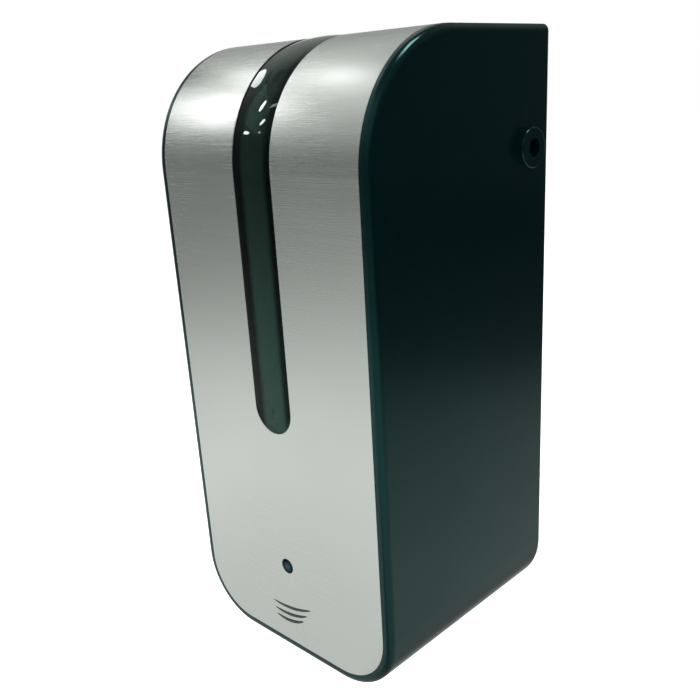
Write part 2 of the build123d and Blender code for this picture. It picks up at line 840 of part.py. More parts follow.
# Nozzle under the pump, hung by its flange in the chassis shelf
shelf_top = shelf_height + shelf_thickness
tube_foot = shelf_top + nozzle_flange_thickness + tube_end_gap
with BuildPart() as nozzle:
    with BuildSketch(Plane.YZ):
        with BuildLine():
            axis_y = -tube_depth
            Polyline((axis_y - nozzle_bore, up(nozzle_tip_height)),
                     (axis_y - nozzle_tip_radius, up(nozzle_tip_height)),
                     (axis_y - nozzle_radius + nozzle_gap, up(shelf_height)),
                     (axis_y - nozzle_radius + nozzle_gap, up(shelf_top)),
                     (axis_y - nozzle_flange_radius, up(shelf_top)),
                     (axis_y - nozzle_flange_radius, up(shelf_top + nozzle_flange_thickness)),
                     (axis_y - barb_radius, up(shelf_top + nozzle_flange_thickness)),
                     (axis_y - barb_radius, up(tube_foot + barb_length)),
                     (axis_y - barb_radius + barb_wall, up(tube_foot + barb_length)),
                     (axis_y - barb_radius + barb_wall, up(shelf_top)),
                     (axis_y - nozzle_bore, up(shelf_height)),
                     (axis_y - nozzle_bore, up(nozzle_tip_height)))
        make_face()
    revolve(axis=Axis((0, -tube_depth, 0), (0, 0, 1)))
save(nozzle.part, "nozzle")

# Silicone tube: down from the tank, squeezed flat round the race, and down to the nozzle
race_centre = (pump_x, up(pump_height))
wrap_radius = race_radius - squeezed_thickness / 2
wrap_top = pump_height + wrap_radius
wrap_foot = pump_height - wrap_radius
tube_top = barb_start - tube_end_gap
squash_start = pump_x - tube_squash_start
tube_bend = squash_start
squash_end = pump_x - tube_squash_end


def round_section(x, height):
    """Round section of the tube, square to X."""
    with BuildSketch(Plane(origin=(x, -tube_depth, up(height)), x_dir=(0, 1, 0),
                           z_dir=(1, 0, 0))) as sketch:
        Circle(tube_radius)
    return sketch.sketch


def flat_section(x, height):
    """Squeezed section of the tube, square to X."""
    with BuildSketch(Plane(origin=(x, -tube_depth, up(height)), x_dir=(0, 1, 0),
                           z_dir=(1, 0, 0))) as sketch:
        SlotOverall(squeezed_width, squeezed_thickness)
    return sketch.sketch


with BuildPart() as pump_tube:
    with BuildLine(facing(tube_depth)) as inlet:
        Line((0, up(tube_top)), (0, up(wrap_top + tube_bend)))
        CenterArc((tube_bend, up(wrap_top + tube_bend)), tube_bend, 180, 90)
    with BuildSketch(Plane.XY.offset(up(tube_top))):
        with Locations((0, -tube_depth)):
            Circle(tube_radius)
    sweep(path=inlet.line)
    with BuildLine(facing(tube_depth)) as outlet:
        Line((0, up(tube_foot)), (0, up(wrap_foot - tube_bend)))
        CenterArc((tube_bend, up(wrap_foot - tube_bend)), tube_bend, 180, -90)
    with BuildSketch(Plane.XY.offset(up(tube_foot))):
        with Locations((0, -tube_depth)):
            Circle(tube_radius)
    sweep(path=outlet.line)
    for height in (wrap_top, wrap_foot):
        loft([round_section(squash_start, height), flat_section(squash_end, height)])
        extrude(flat_section(squash_end, height), amount=tube_squash_end)
    revolve(flat_section(pump_x, wrap_top),
            axis=Axis((pump_x, 0, up(pump_height)), (0, 1, 0)), revolution_arc=180)
    for height, run in ((tube_top, -1), (tube_foot, 1)):
        with BuildSketch(Plane.XY.offset(up(height - run * overrun))):
            with Locations((0, -tube_depth)):
                Circle(tube_bore)
        extrude(amount=run * (barb_length + 2 * overrun), mode=Mode.SUBTRACT)
save(pump_tube.part, "pump_tube")

# Pump race: the curved wall that the rollers press the tube against
race_open = tube_squash_end
race_ear_spots = [(pump_x, up(pump_height + race_outer)),
                  (pump_x, up(pump_height - race_outer)),
                  (pump_x + race_outer, up(pump_height))]


def race_face(radius, depth, open_end):
    """Half round face of the race, run out to the left as far as open_end."""
    with BuildSketch(facing(depth)) as sketch:
        with Locations(race_centre):
            Circle(radius)
        with Locations((pump_x - open_end / 2, up(pump_height))):
            Rectangle(open_end, 2 * radius)
        with Locations((pump_x - open_end - radius, up(pump_height))):
            Rectangle(2 * radius, 2 * radius, mode=Mode.SUBTRACT)
    return sketch.sketch


with BuildPart() as pump_race:
    extrude(race_face(race_outer, chassis_front + race_gap, race_open), amount=race_depth)
    with BuildSketch(facing(chassis_front + race_gap)):
        with Locations(*race_ear_spots):
            Circle(race_ear_radius)
    extrude(amount=race_depth)
    extrude(race_face(race_radius, chassis_front, race_open + race_ear_radius),
            amount=2 * race_depth, mode=Mode.SUBTRACT)
    with BuildSketch(facing(chassis_front)):
        with Locations(*race_ear_spots):
            Circle(screw_radius)
    extrude(amount=2 * race_depth, mode=Mode.SUBTRACT)
save(pump_race.part, "pump_race")

# Clear cover over the pump head, with the rotor shaft's front bearing
cover_back = race_front + race_gap
with BuildPart() as pump_cover:
    extrude(race_face(race_outer, cover_back, race_open), amount=pump_cover_thickness)
    with BuildSketch(facing(cover_back)):
        with Locations(*race_ear_spots):
            Circle(race_ear_radius)
    extrude(amount=pump_cover_thickness)
    with BuildSketch(facing(cover_back + pump_cover_thickness)):
        with Locations(race_centre):
            Circle(bush_radius)
    extrude(amount=pump_cover_thickness)
    with BuildSketch(facing(cover_back)):
        with Locations(race_centre):
            Circle(shaft_radius + shaft_clearance)
    extrude(amount=pump_cover_thickness + shaft_end, mode=Mode.SUBTRACT)
    with BuildSketch(facing(chassis_front)):
        with Locations(*race_ear_spots):
            Circle(screw_radius + screw_gap)
    extrude(amount=housing_depth, mode=Mode.SUBTRACT)
save(pump_cover.part, "pump_cover")

# Roller carrier: two discs on a hub, with the roller pins
roller_orbit = race_radius - squeezed_thickness - roller_gap - roller_radius
with BuildPart() as roller_carrier:
    for side in (-1, 1):
        with BuildSketch(facing(tube_depth + side * carrier_half)):
            with Locations(race_centre):
                Circle(carrier_radius)
        extrude(amount=side * carrier_thickness)
    with BuildSketch(facing(tube_depth)):
        with Locations(race_centre):
            Circle(carrier_hub_radius)
            with PolarLocations(roller_orbit, roller_count):
                Circle(roller_pin_radius)
    extrude(amount=carrier_half, both=True)
    with BuildSketch(facing(tube_depth)):
        with Locations(race_centre):
            Circle(shaft_radius + shaft_fit)
    extrude(amount=2 * carrier_half, both=True, mode=Mode.SUBTRACT)
save(roller_carrier.part, "roller_carrier")

# Rollers
for number in range(roller_count):
    turn = math.radians(360 * number / roller_count)
    spot = (pump_x + roller_orbit * math.cos(turn),
            up(pump_height) + roller_orbit * math.sin(turn))
    with BuildPart() as roller:
        with BuildSketch(facing(tube_depth)):
            with Locations(spot):
                Circle(roller_radius)
                Circle(roller_pin_radius + roller_pin_clearance, mode=Mode.SUBTRACT)
        extrude(amount=roller_length / 2, both=True)
    save(roller.part, f"roller_{number + 1}")

# Places of the gear train behind the chassis plate
rotor_pitch = gear_module * rotor_teeth / 2
idler_small_pitch = gear_module * idler_small_teeth / 2
idler_large_pitch = gear_module * idler_large_teeth / 2
pinion_pitch = gear_module * pinion_teeth / 2
idler_x = pump_x + (rotor_pitch + idler_small_pitch) * math.cos(math.radians(idler_angle))
idler_z = up(pump_height) + (rotor_pitch + idler_small_pitch) * math.sin(math.radians(idler_angle))
motor_x = idler_x + (idler_large_pitch + pinion_pitch) * math.cos(math.radians(pinion_angle))
motor_z = idler_z + (idler_large_pitch + pinion_pitch) * math.sin(math.radians(pinion_angle))
idler_large_depth = rotor_gear_depth - idler_gear_step - gear_overlap / 2 - gear_width
small_width = gear_width + gear_overlap + idler_gear_step
pinion_depth = idler_large_depth - gear_overlap / 2

# Gear on the rotor shaft
with BuildPart() as rotor_gear:
    wheel = involute_gear(rotor_teeth, idler_angle, rotor_gear_depth, gear_width)
    add(wheel.translate((pump_x, 0, up(pump_height))))
    with BuildSketch(facing(rotor_gear_depth + gear_width)):
        with Locations(race_centre):
            Circle(rotor_pitch - gear_rim_wall)
            Circle(gear_hub_radius, mode=Mode.SUBTRACT)
    extrude(amount=-gear_web_recess, mode=Mode.SUBTRACT)
    with BuildSketch(facing(rotor_gear_depth)):
        with Locations(race_centre):
            Circle(shaft_radius + shaft_fit)
    extrude(amount=gear_width, mode=Mode.SUBTRACT)
save(rotor_gear.part, "rotor_gear")

# Rotor shaft, carried by the chassis bush and the pump cover
with BuildPart() as rotor_shaft:
    with BuildSketch(facing(rotor_gear_depth - shaft_end)):
        with Locations(race_centre):
            Circle(shaft_radius)
    extrude(amount=cover_back + pump_cover_thickness - rotor_gear_depth + shaft_end)
save(rotor_shaft.part, "rotor_shaft")

# Two-step idler between the motor's pinion and the rotor's gear
with BuildPart() as idler_gear:
    large = involute_gear(idler_large_teeth, pinion_angle, idler_large_depth, gear_width)
    small = involute_gear(idler_small_teeth, idler_angle + 180 + 180 / idler_small_teeth,
                          idler_large_depth + gear_width, small_width)
    add(large.translate((idler_x, 0, idler_z)))
    with BuildSketch(facing(idler_large_depth)):
        with Locations((idler_x, idler_z)):
            Circle(idler_large_pitch - gear_rim_wall)
            Circle(gear_hub_radius, mode=Mode.SUBTRACT)
    extrude(amount=gear_web_recess, mode=Mode.SUBTRACT)
    add(small.translate((idler_x, 0, idler_z)))
    with BuildSketch(facing(idler_large_depth)):
        with Locations((idler_x, idler_z)):
            Circle(idler_axle_radius + idler_axle_clearance)
    extrude(amount=housing_depth, mode=Mode.SUBTRACT)
save(idler_gear.part, "idler_gear")

# Axle that the idler turns on
with BuildPart() as idler_axle:
    with BuildSketch(facing(idler_large_depth - axle_end)):
        with Locations((idler_x, idler_z)):
            Circle(idler_axle_radius)
    extrude(amount=chassis_front - idler_large_depth + axle_end)
save(idler_axle.part, "idler_axle")

# Pinion pressed on the motor's shaft
with BuildPart() as motor_pinion:
    teeth = involute_gear(pinion_teeth, pinion_angle + 180 + 180 / pinion_teeth, pinion_depth,
                          gear_width + gear_overlap)
    add(teeth.translate((motor_x, 0, motor_z)))
    with BuildSketch(facing(pinion_depth)):
        with Locations((motor_x, motor_z)):
            Circle(motor_shaft_radius + shaft_fit)
    extrude(amount=housing_depth, mode=Mode.SUBTRACT)
save(motor_pinion.part, "motor_pinion")

# Motor's shaft
with BuildPart() as motor_shaft:
    with BuildSketch(facing(pinion_depth)):
        with Locations((motor_x, motor_z)):
            Circle(motor_shaft_radius)
    extrude(amount=chassis_front - pinion_depth + motor_boss_radius)
save(motor_shaft.part, "motor_shaft")

# Gear motor's can, its locating boss in the chassis plate
with BuildPart() as gear_motor:
    with BuildSketch(facing(motor_back)):
        with Locations((motor_x, motor_z)):
            Circle(motor_radius)
    extrude(amount=motor_length - motor_cap_length)
    fillet(gear_motor.faces().sort_by(Axis.Y)[-1].edges(), motor_round)
    with BuildSketch(facing(motor_back + motor_length - motor_cap_length)):
        with Locations((motor_x, motor_z)):
            Circle(motor_radius - motor_cap_step)
    extrude(amount=motor_cap_length)
    with BuildSketch(facing(motor_back)):
        with Locations((motor_x, motor_z)):
            Circle(motor_boss_radius)
    extrude(amount=-motor_boss_length)
    with BuildSketch(facing(motor_back + motor_length)):
        with Locations((motor_x, motor_z)):
            with GridLocations(terminal_spacing, 0, 2, 1):
                Rectangle(terminal_thickness, terminal_width)
    extrude(amount=terminal_length)
    with BuildSketch(facing(chassis_depth)):
        with Locations((motor_x, motor_z)):
            Circle(motor_shaft_radius + shaft_clearance)
    extrude(amount=chassis_wall + motor_boss_radius + overrun, mode=Mode.SUBTRACT)
save(gear_motor.part, "gear_motor")

# Bush that the rotor shaft turns in
with BuildPart() as rotor_bush:
    with BuildSketch(facing(chassis_depth - bush_flange)):
        with Locations(race_centre):
            Circle(bush_radius + bush_flange)
    extrude(amount=bush_flange - shaft_fit)
    with BuildSketch(facing(chassis_depth - shaft_fit)):
        with Locations(race_centre):
            Circle(bush_radius)
    extrude(amount=chassis_wall + shaft_fit)
    with BuildSketch(facing(chassis_depth - bush_flange)):
        with Locations(race_centre):
            Circle(shaft_radius + shaft_clearance)
    extrude(amount=chassis_wall + 2 * bush_flange, mode=Mode.SUBTRACT)
save(rotor_bush.part, "rotor_bush")

# Drive chassis: the plate that carries the pump and the motor, boxed in at the back
box_depth = chassis_depth - chassis_back
chassis_box_bottom = wall_plate_foot + lip_thickness + chassis_box_gap
shelf_front = case_back - shelf_gap
with BuildPart() as drive_chassis:
    with BuildSketch(facing(chassis_depth)):
        with Locations((0, up((chassis_bottom + chassis_top) / 2))):
            RectangleRounded(2 * chassis_half_width, chassis_top - chassis_bottom, chassis_wall)
        with Locations((pump_x + race_outer, up(pump_height))):
            Circle(race_ear_radius)
    extrude(amount=chassis_wall)
    with BuildSketch(facing(chassis_depth)):
        with Locations((0, up((chassis_box_bottom + chassis_top) / 2))):
            Rectangle(2 * chassis_half_width, chassis_top - chassis_box_bottom)
            Rectangle(2 * (chassis_half_width - chassis_wall),
                      chassis_top - chassis_box_bottom - 2 * chassis_wall, mode=Mode.SUBTRACT)
    extrude(amount=-box_depth)
    with BuildSketch(facing(chassis_back)):
        for x, z in foot_spots:
            side = 1 if x > 0 else -1
            with Locations((x - side * (chassis_foot_length / 2 - foot_screw_inset
                                        + chassis_wall / 2), z)):
                Rectangle(chassis_foot_length + chassis_wall, chassis_foot_height)
        with Locations(*foot_spots):
            Circle(screw_radius + screw_gap, mode=Mode.SUBTRACT)
    extrude(amount=chassis_foot_thickness)
    with BuildSketch(Plane.XY.offset(up(shelf_height))):
        with Locations((0, -(shelf_back + shelf_front) / 2)):
            Rectangle(shelf_width, shelf_front - shelf_back)
        with Locations((0, -tube_depth)):
            Circle(nozzle_radius, mode=Mode.SUBTRACT)
    extrude(amount=shelf_thickness)
    with BuildSketch(facing(chassis_depth)):
        with Locations((0, up((shelf_height + chassis_bottom + chassis_wall) / 2))):
            Rectangle(shelf_width, chassis_bottom + chassis_wall - shelf_height)
    extrude(amount=chassis_wall)
    with BuildSketch(facing(chassis_depth - overrun)):
        with Locations(race_centre):
            Circle(bush_radius + shaft_fit)
        with Locations((motor_x, motor_z)):
            Circle(motor_boss_radius + motor_seat_gap)
        with Locations((idler_x, idler_z)):
            Circle(idler_axle_radius + shaft_fit)
        with Locations(*race_ear_spots):
            Circle(screw_radius + screw_gap)
    extrude(amount=chassis_wall + 2 * overrun, mode=Mode.SUBTRACT)
save(drive_chassis.part, "drive_chassis")


def pan_screws(spots, depth, length):
    """Pan head screws that point at the wall, their heads seated at a depth."""
    with BuildPart() as screws:
        with BuildSketch(facing(depth)):
            with Locations(*spots):
                Circle(screw_head_radius)
        extrude(amount=screw_head_height)
        with BuildSketch(facing(depth + screw_head_height)):
            with Locations(*spots):
                Rectangle(screw_head_radius, screw_recess_width)
                Rectangle(screw_recess_width, screw_head_radius)
        extrude(amount=-screw_recess_depth, mode=Mode.SUBTRACT)
        with BuildSketch(facing(depth)):
            with Locations(*spots):
                Circle(screw_radius - screw_gap)
        extrude(amount=-length)
    return screws.part


foot_front = chassis_back + chassis_foot_thickness
save(pan_screws(foot_spots, foot_front, foot_front - screw_gap), "chassis_screws")
save(pan_screws(race_ear_spots, cover_back + pump_cover_thickness,
                cover_back + pump_cover_thickness - chassis_depth), "pump_screws")

# Battery tray with its door rails and the arms that hold it to the chassis
tray_middle = (tray_top + tray_bottom) / 2
arm_inner = chassis_half_width + arm_gap
with BuildPart() as battery_tray:
    with BuildSketch(facing(tray_back)):
        with Locations((0, up(tray_middle))):
            Rectangle(2 * tray_half, tray_top - tray_bottom)
    extrude(amount=tray_front - tray_back)
    with BuildSketch(facing(tray_back + tray_wall)):
        with Locations((0, up(tray_middle))):
            Rectangle(2 * (tray_half - tray_wall), 2 * cell_pitch)
    extrude(amount=housing_depth, mode=Mode.SUBTRACT)
    for side in (-1, 1):
        level = tray_middle + side * (cell_pitch + tray_wall / 2)
        with BuildSketch(facing(tray_front)):
            with Locations((0, up(level))):
                Rectangle(2 * (tray_half - door_side_gap), tray_wall)
        extrude(amount=rail_front - tray_front - door_rib_proud + rail_thickness)
        level = tray_middle + side * (cell_pitch + tray_wall - (rail_lip + tray_wall) / 2)
        with BuildSketch(facing(rail_front - door_rib_proud)):
            with Locations((0, up(level))):
                Rectangle(2 * (tray_half - door_side_gap), rail_lip + tray_wall)
        extrude(amount=rail_thickness)
        with BuildSketch(facing(arm_back)):
            with Locations((side * (arm_inner + arm_thickness / 2), up(arm_level))):
                Rectangle(arm_thickness, arm_height)
        extrude(amount=tray_back + tray_wall / 2 - arm_back)
save(battery_tray.part, "battery_tray")

# Cells, two in each row
for row in range(2):
    for column in range(2):
        level = tray_middle + (row - 1 / 2) * cell_pitch
        middle_x = (column - 1 / 2) * (cell_length + cell_gap)
        turn = 1 if row else -1
        with BuildPart() as cell:
            with BuildSketch(Plane.YZ.offset(middle_x - turn * cell_length / 2)):
                with Locations((-(tray_back + tray_wall + cell_radius + cell_gap), up(level))):
                    Circle(cell_radius)
            extrude(amount=turn * (cell_length - cell_button_height))
            fillet(cell.edges().filter_by(GeomType.CIRCLE), cell_edge)
            with BuildSketch(Plane.YZ.offset(middle_x)):
                with Locations((-(tray_back + tray_wall + cell_radius + cell_gap), up(level))):
                    Circle(cell_button_radius)
            extrude(amount=turn * cell_length / 2)
        save(cell.part, f"c_cell_{2 * row + column + 1}")

# Sprung contact plates at the ends of the rows
with BuildPart() as battery_contacts:
    for side in (-1, 1):
        face_x = side * (tray_half - tray_wall)
        with BuildSketch(Plane.YZ.offset(face_x)):
            with Locations((-(tray_back + tray_wall + cell_radius + cell_gap), up(tray_middle))):
                if side > 0:
                    Rectangle(contact_size, cell_pitch + contact_size)
                else:
                    with GridLocations(0, cell_pitch, 1, 2):
                        Rectangle(contact_size, contact_size)
        extrude(amount=-side * contact_thickness)
        with BuildSketch(Plane.YZ.offset(face_x - side * contact_thickness)):
            with Locations((-(tray_back + tray_wall + cell_radius + cell_gap), up(tray_middle))):
                with GridLocations(0, cell_pitch, 1, 2):
                    Circle(contact_dome_radius)
        extrude(amount=-side * (contact_spring + cell_gap / 2))
save(battery_contacts.part, "battery_contacts")

# Battery door that slides sideways in the rails
door_half = tray_half - door_side_gap
door_tall = 2 * cell_pitch - 2 * door_gap
door_face = tray_front + door_gap + door_thickness
with BuildPart() as battery_door:
    with BuildSketch(facing(tray_front + door_gap)):
        with Locations((0, up(tray_middle))):
            Rectangle(2 * door_half, door_tall)
    extrude(amount=door_thickness)
    with BuildSketch(facing(door_face)):
        with Locations((door_half / 2, up(tray_middle))):
            with GridLocations(door_rib_spacing, 0, door_rib_count, 1):
                RectangleRounded(door_rib_width, door_rib_height, door_rib_round)
    extrude(amount=door_rib_proud)
save(battery_door.part, "battery_door")

# Electronics case under the battery tray
board_depth = case_front - case_wall - board_gap
with BuildPart() as electronics_case:
    with BuildSketch(facing(case_back)):
        with Locations((0, up((case_top + case_bottom) / 2))):
            Rectangle(case_width, case_top - case_bottom)
    extrude(amount=case_front - case_back)
    fillet(electronics_case.edges().filter_by(Axis.Y).group_by(Axis.Z)[0], case_corner)
    with BuildSketch(facing(case_back - overrun)) as case_inner:
        with Locations((0, up((case_top + case_bottom) / 2))):
            Rectangle(case_width - 2 * case_wall, case_top - case_bottom - 2 * case_wall)
        fillet(case_inner.vertices().group_by(Axis.Y)[0], case_corner - case_wall)
    extrude(amount=case_front - case_back - case_wall + overrun, mode=Mode.SUBTRACT)
    with BuildSketch(facing(case_front - case_wall - overrun)):
        with Locations((0, up(eye_height))):
            Circle(led_radius + led_gap)
        with Locations((switch_x, up(switch_height))):
            Rectangle(switch_width - 2 * switch_frame_thickness, switch_knob_tall + 2 * switch_gap)
    extrude(amount=case_wall + 2 * overrun, mode=Mode.SUBTRACT)
    with BuildSketch(Plane.XY.offset(up(case_bottom - overrun))):
        with Locations((0, -sensor_depth)):
            Rectangle(sensor_window_width, sensor_window_length)
    extrude(amount=case_wall + 2 * overrun, mode=Mode.SUBTRACT)
save(electronics_case.part, "electronics_case")

# Control board behind the case's front, with its relay, chips and connector
board_front = board_depth + board_thickness
board_tall = case_top - case_bottom - 2 * (case_wall + board_margin)
board_middle = up((case_top + case_bottom) / 2)
with BuildPart() as control_board:
    with BuildSketch(facing(board_depth)):
        with Locations((0, board_middle)):
            Rectangle(case_width - 2 * (case_wall + board_margin), board_tall)
    extrude(amount=board_thickness)
    with BuildSketch(facing(board_depth)):
        with Locations((-case_half / 2, board_middle + chip_size)):
            Rectangle(chip_size, chip_size)
        with Locations((-case_half / 2, board_middle - chip_size)):
            Rectangle(chip_size, chip_size / 2)
    extrude(amount=-chip_height)
    with BuildSketch(facing(board_depth)):
        with Locations((case_half / 2, board_middle + relay_size)):
            Rectangle(2 * relay_size, relay_size)
        with Locations((case_half / 2, board_middle - relay_size)):
            Rectangle(relay_size, relay_size)
    extrude(amount=-relay_height)
save(control_board.part, "control_board")

# Status light on the board, its dome in the case's front
led_centre = (0, up(eye_height))
with BuildPart() as status_led:
    with BuildSketch(facing(board_front)):
        with Locations(led_centre):
            Circle(led_radius)
    extrude(amount=led_length)
    fillet(status_led.faces().sort_by(Axis.Y)[0].edges(), led_radius - led_gap)
save(status_led.part, "status_led")

# Infrared window in the case's floor
with BuildPart() as sensor_window:
    with BuildSketch(Plane.XY.offset(up(case_bottom))):
        with Locations((0, -sensor_depth)):
            Rectangle(sensor_window_width - 2 * sensor_gap, sensor_window_length - 2 * sensor_gap)
    extrude(amount=case_wall + sensor_gap)
    with BuildSketch(Plane.XY.offset(up(case_bottom + case_wall + sensor_gap))):
        with Locations((0, -sensor_depth)):
            Rectangle(sensor_window_width + 2 * sensor_window_thickness,
                      sensor_window_length + 2 * sensor_window_thickness)
    extrude(amount=sensor_window_thickness)
save(sensor_window.part, "sensor_window")

# Infrared emitter and receiver above the window
with BuildPart() as sensor_pair:
    sensor_floor = case_bottom + case_wall + sensor_window_thickness + 2 * sensor_gap
    with BuildSketch(Plane.XY.offset(up(sensor_floor))):
        with Locations((0, -sensor_depth)):
            with GridLocations(emitter_spacing, 0, 2, 1):
                Circle(emitter_radius)
    extrude(amount=emitter_length)
    with BuildSketch(Plane.XY.offset(up(sensor_floor + emitter_length))):
        with Locations((0, -sensor_depth)):
            Rectangle(emitter_spacing + 2 * (emitter_radius + emitter_board_margin),
                      2 * (emitter_radius + emitter_board_margin))
    extrude(amount=board_thickness)
save(sensor_pair.part, "sensor_pair")

# Power switch's body on the board
switch_level = up(switch_height)
switch_back = board_front
switch_front = case_front - case_wall - switch_gap
with BuildPart() as switch_body:
    with BuildSketch(facing(switch_back)):
        with Locations((switch_x, switch_level)):
            Rectangle(switch_width, switch_tall)
    extrude(amount=switch_front - switch_back)
    with BuildSketch(facing(switch_front - switch_body_depth / 2)):
        with Locations((switch_x, switch_level)):
            Rectangle(switch_knob_width + switch_travel + 2 * switch_gap,
                      switch_knob_tall + 2 * switch_gap)
    extrude(amount=switch_body_depth, mode=Mode.SUBTRACT)
save(switch_body.part, "switch_body")

# Switch knob in the case's front
with BuildPart() as switch_knob:
    with BuildSketch(facing(switch_front - switch_body_depth / 2 + switch_gap)):
        with Locations((switch_x - switch_travel / 2, switch_level)):
            Rectangle(switch_knob_width, switch_knob_tall)
    extrude(amount=case_front + switch_knob_proud - switch_front + switch_body_depth / 2
            - switch_gap)
    chamfer(switch_knob.faces().sort_by(Axis.Y)[0].edges(), switch_gap)
save(switch_knob.part, "switch_knob")
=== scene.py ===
import json
import math

import bpy
from mathutils import Matrix, Vector

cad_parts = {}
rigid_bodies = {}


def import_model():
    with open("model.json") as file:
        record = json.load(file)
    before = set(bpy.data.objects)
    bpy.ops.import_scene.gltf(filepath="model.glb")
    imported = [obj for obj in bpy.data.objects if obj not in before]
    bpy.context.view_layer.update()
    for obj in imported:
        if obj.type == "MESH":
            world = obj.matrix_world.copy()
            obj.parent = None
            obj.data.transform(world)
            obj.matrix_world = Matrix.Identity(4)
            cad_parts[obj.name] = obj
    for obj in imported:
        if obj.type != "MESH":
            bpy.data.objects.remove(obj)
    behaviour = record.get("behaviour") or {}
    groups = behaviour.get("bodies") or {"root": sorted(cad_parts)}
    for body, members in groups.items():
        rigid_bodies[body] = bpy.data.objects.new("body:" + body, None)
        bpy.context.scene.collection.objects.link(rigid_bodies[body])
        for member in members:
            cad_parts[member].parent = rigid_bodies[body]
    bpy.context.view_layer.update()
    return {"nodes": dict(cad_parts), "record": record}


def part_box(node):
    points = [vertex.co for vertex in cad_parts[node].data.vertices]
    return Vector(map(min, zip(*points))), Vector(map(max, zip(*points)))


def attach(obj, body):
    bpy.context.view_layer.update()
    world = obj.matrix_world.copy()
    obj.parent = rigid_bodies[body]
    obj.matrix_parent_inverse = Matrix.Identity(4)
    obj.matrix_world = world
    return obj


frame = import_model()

# Looks of a wall-mounted automatic soap dispenser, in metres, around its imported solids.
# The wall is the plane Y = 0, the front faces -Y and +Z is up.

MM = 0.001
WHITE = (1.0, 1.0, 1.0)
BLACK = (0.0, 0.0, 0.0)
NODES = frame["nodes"]
LOW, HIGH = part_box("cover_shell")

# The level of the room's floor, just under the foot, and the middle of the rounded crown
FLOOR = LOW.z - 0.4 * MM
CROWN_DEPTH_SHARE = 0.87
CROWN_HEIGHT_SHARE = 0.89
CROWN = Vector((0, CROWN_DEPTH_SHARE * LOW.y, CROWN_HEIGHT_SHARE * HIGH.z))

# Camera fitted to the photograph, whose frame is 700 pixels square
FRAME_PIXELS = 700
FOCAL_PIXELS = 839.2
CENTRE_ROW = 378
CAMERA_PLACE = Vector((255.6, -319.0, 113.7)) * MM
CAMERA_AZIMUTH = 45.11
CAMERA_ELEVATION = 19.23
CAMERA_ROLL = -3.46
CAMERA_CLIP = (0.01, 50.0)
SENSOR = 36.0

# Values between which noise mostly lies
NOISE_LOW = 0.3
NOISE_HIGH = 0.7

# Kinds of surface: scale and detail of the noise in the colour, in the sheen and in the
# skin, the darkest and lightest share of the colour, the lowest and highest share of the
# roughness, the strength and height of the skin, and what all of the kind have in common
KINDS = {
    "moulded": {"colour": (38.0, 4.0), "shades": (0.88, 1.12),
                "sheen": (90.0, 3.0), "spread": (0.86, 1.14),
                "skin": (1400.0, 2.0), "strength": 0.02, "height": 0.05 * MM,
                "common": {}},
    "polished": {"colour": (160.0, 4.0), "shades": (0.85, 1.0),
                 "sheen": (240.0, 3.0), "spread": (0.75, 1.3),
                 "skin": (1800.0, 2.0), "strength": 0.03, "height": 0.03 * MM,
                 "common": {"Metallic": 1.0}},
    "clear": {"colour": (45.0, 3.0), "shades": (0.9, 1.0),
              "sheen": (70.0, 2.0), "spread": (0.8, 1.2),
              "skin": (30.0, 2.0), "strength": 0.04, "height": 0.2 * MM,
              "common": {"IOR": 1.49}},
}

# Materials of those kinds: slot, kind, colour, roughness and what sets each one apart
SURFACES = (
    ("cover_black", "moulded", (0.0006, 0.0092, 0.0100), 0.18,
     {"strength": 0.01, "Specular_Tint": (0.32, 1.0, 1.0), "Specular_IOR_Level": 0.42}),
    ("acetal_white", "moulded", (0.80, 0.80, 0.77), 0.38,
     {"shades": (0.97, 1.03), "Subsurface_Weight": 0.08, "Subsurface_Scale": 0.002}),
    ("steel_pin", "polished", (0.66, 0.66, 0.65), 0.22, {}),
    ("tank_clear", "clear", (0.86, 0.90, 0.89), 0.35, {"Transmission_Weight": 0.55}),
    ("cap_grey", "moulded", (0.26, 0.27, 0.28), 0.42, {}),
    ("seal_rubber", "moulded", (0.42, 0.41, 0.38), 0.7, {}),
    ("silicone_tube", "clear", (0.86, 0.87, 0.84), 0.38, {"Transmission_Weight": 0.35}),
    ("nozzle_grey", "moulded", (0.10, 0.10, 0.105), 0.4, {}),
    ("chassis_grey", "moulded", (0.065, 0.068, 0.072), 0.5, {"strength": 0.05}),
    ("pump_clear", "clear", (0.88, 0.92, 0.93), 0.06, {"Transmission_Weight": 0.9}),
    ("bronze_bush", "polished", (0.62, 0.40, 0.19), 0.4, {}),
    ("contact_nickel", "polished", (0.70, 0.67, 0.61), 0.28, {}),
    ("led_lens", "clear", (0.75, 0.10, 0.08), 0.15, {"Transmission_Weight": 0.5}),
    ("sensor_dark", "moulded", (0.02, 0.008, 0.012), 0.12, {}),
    ("switch_black", "moulded", (0.018, 0.018, 0.019), 0.4, {}),
    ("brass_pinion", "polished", (0.78, 0.58, 0.26), 0.24, {}),
)

# Brushed steel: how closely its fine and broad scratches lie along each axis and how
# much each counts, the scale of its clouds, its colours, its roughness between scratches
# and what the clouds add to it, and the strength and height of the scratches
STEEL_FINE = (30.0, 6500.0, 6500.0)
STEEL_BROAD = (9.0, 1500.0, 1500.0)
STEEL_FINE_SHARE = 0.7
STEEL_BROAD_SHARE = 0.3
STEEL_CLOUD_SCALE = 14.0
STEEL_COLORS = ((0.655, 0.67, 0.655), (0.69, 0.70, 0.685))
STEEL_ROUGHNESS = (0.23, 0.28)
STEEL_CLOUDING = (-0.02, 0.03)
STEEL_BUMP = (0.005, 0.02 * MM)

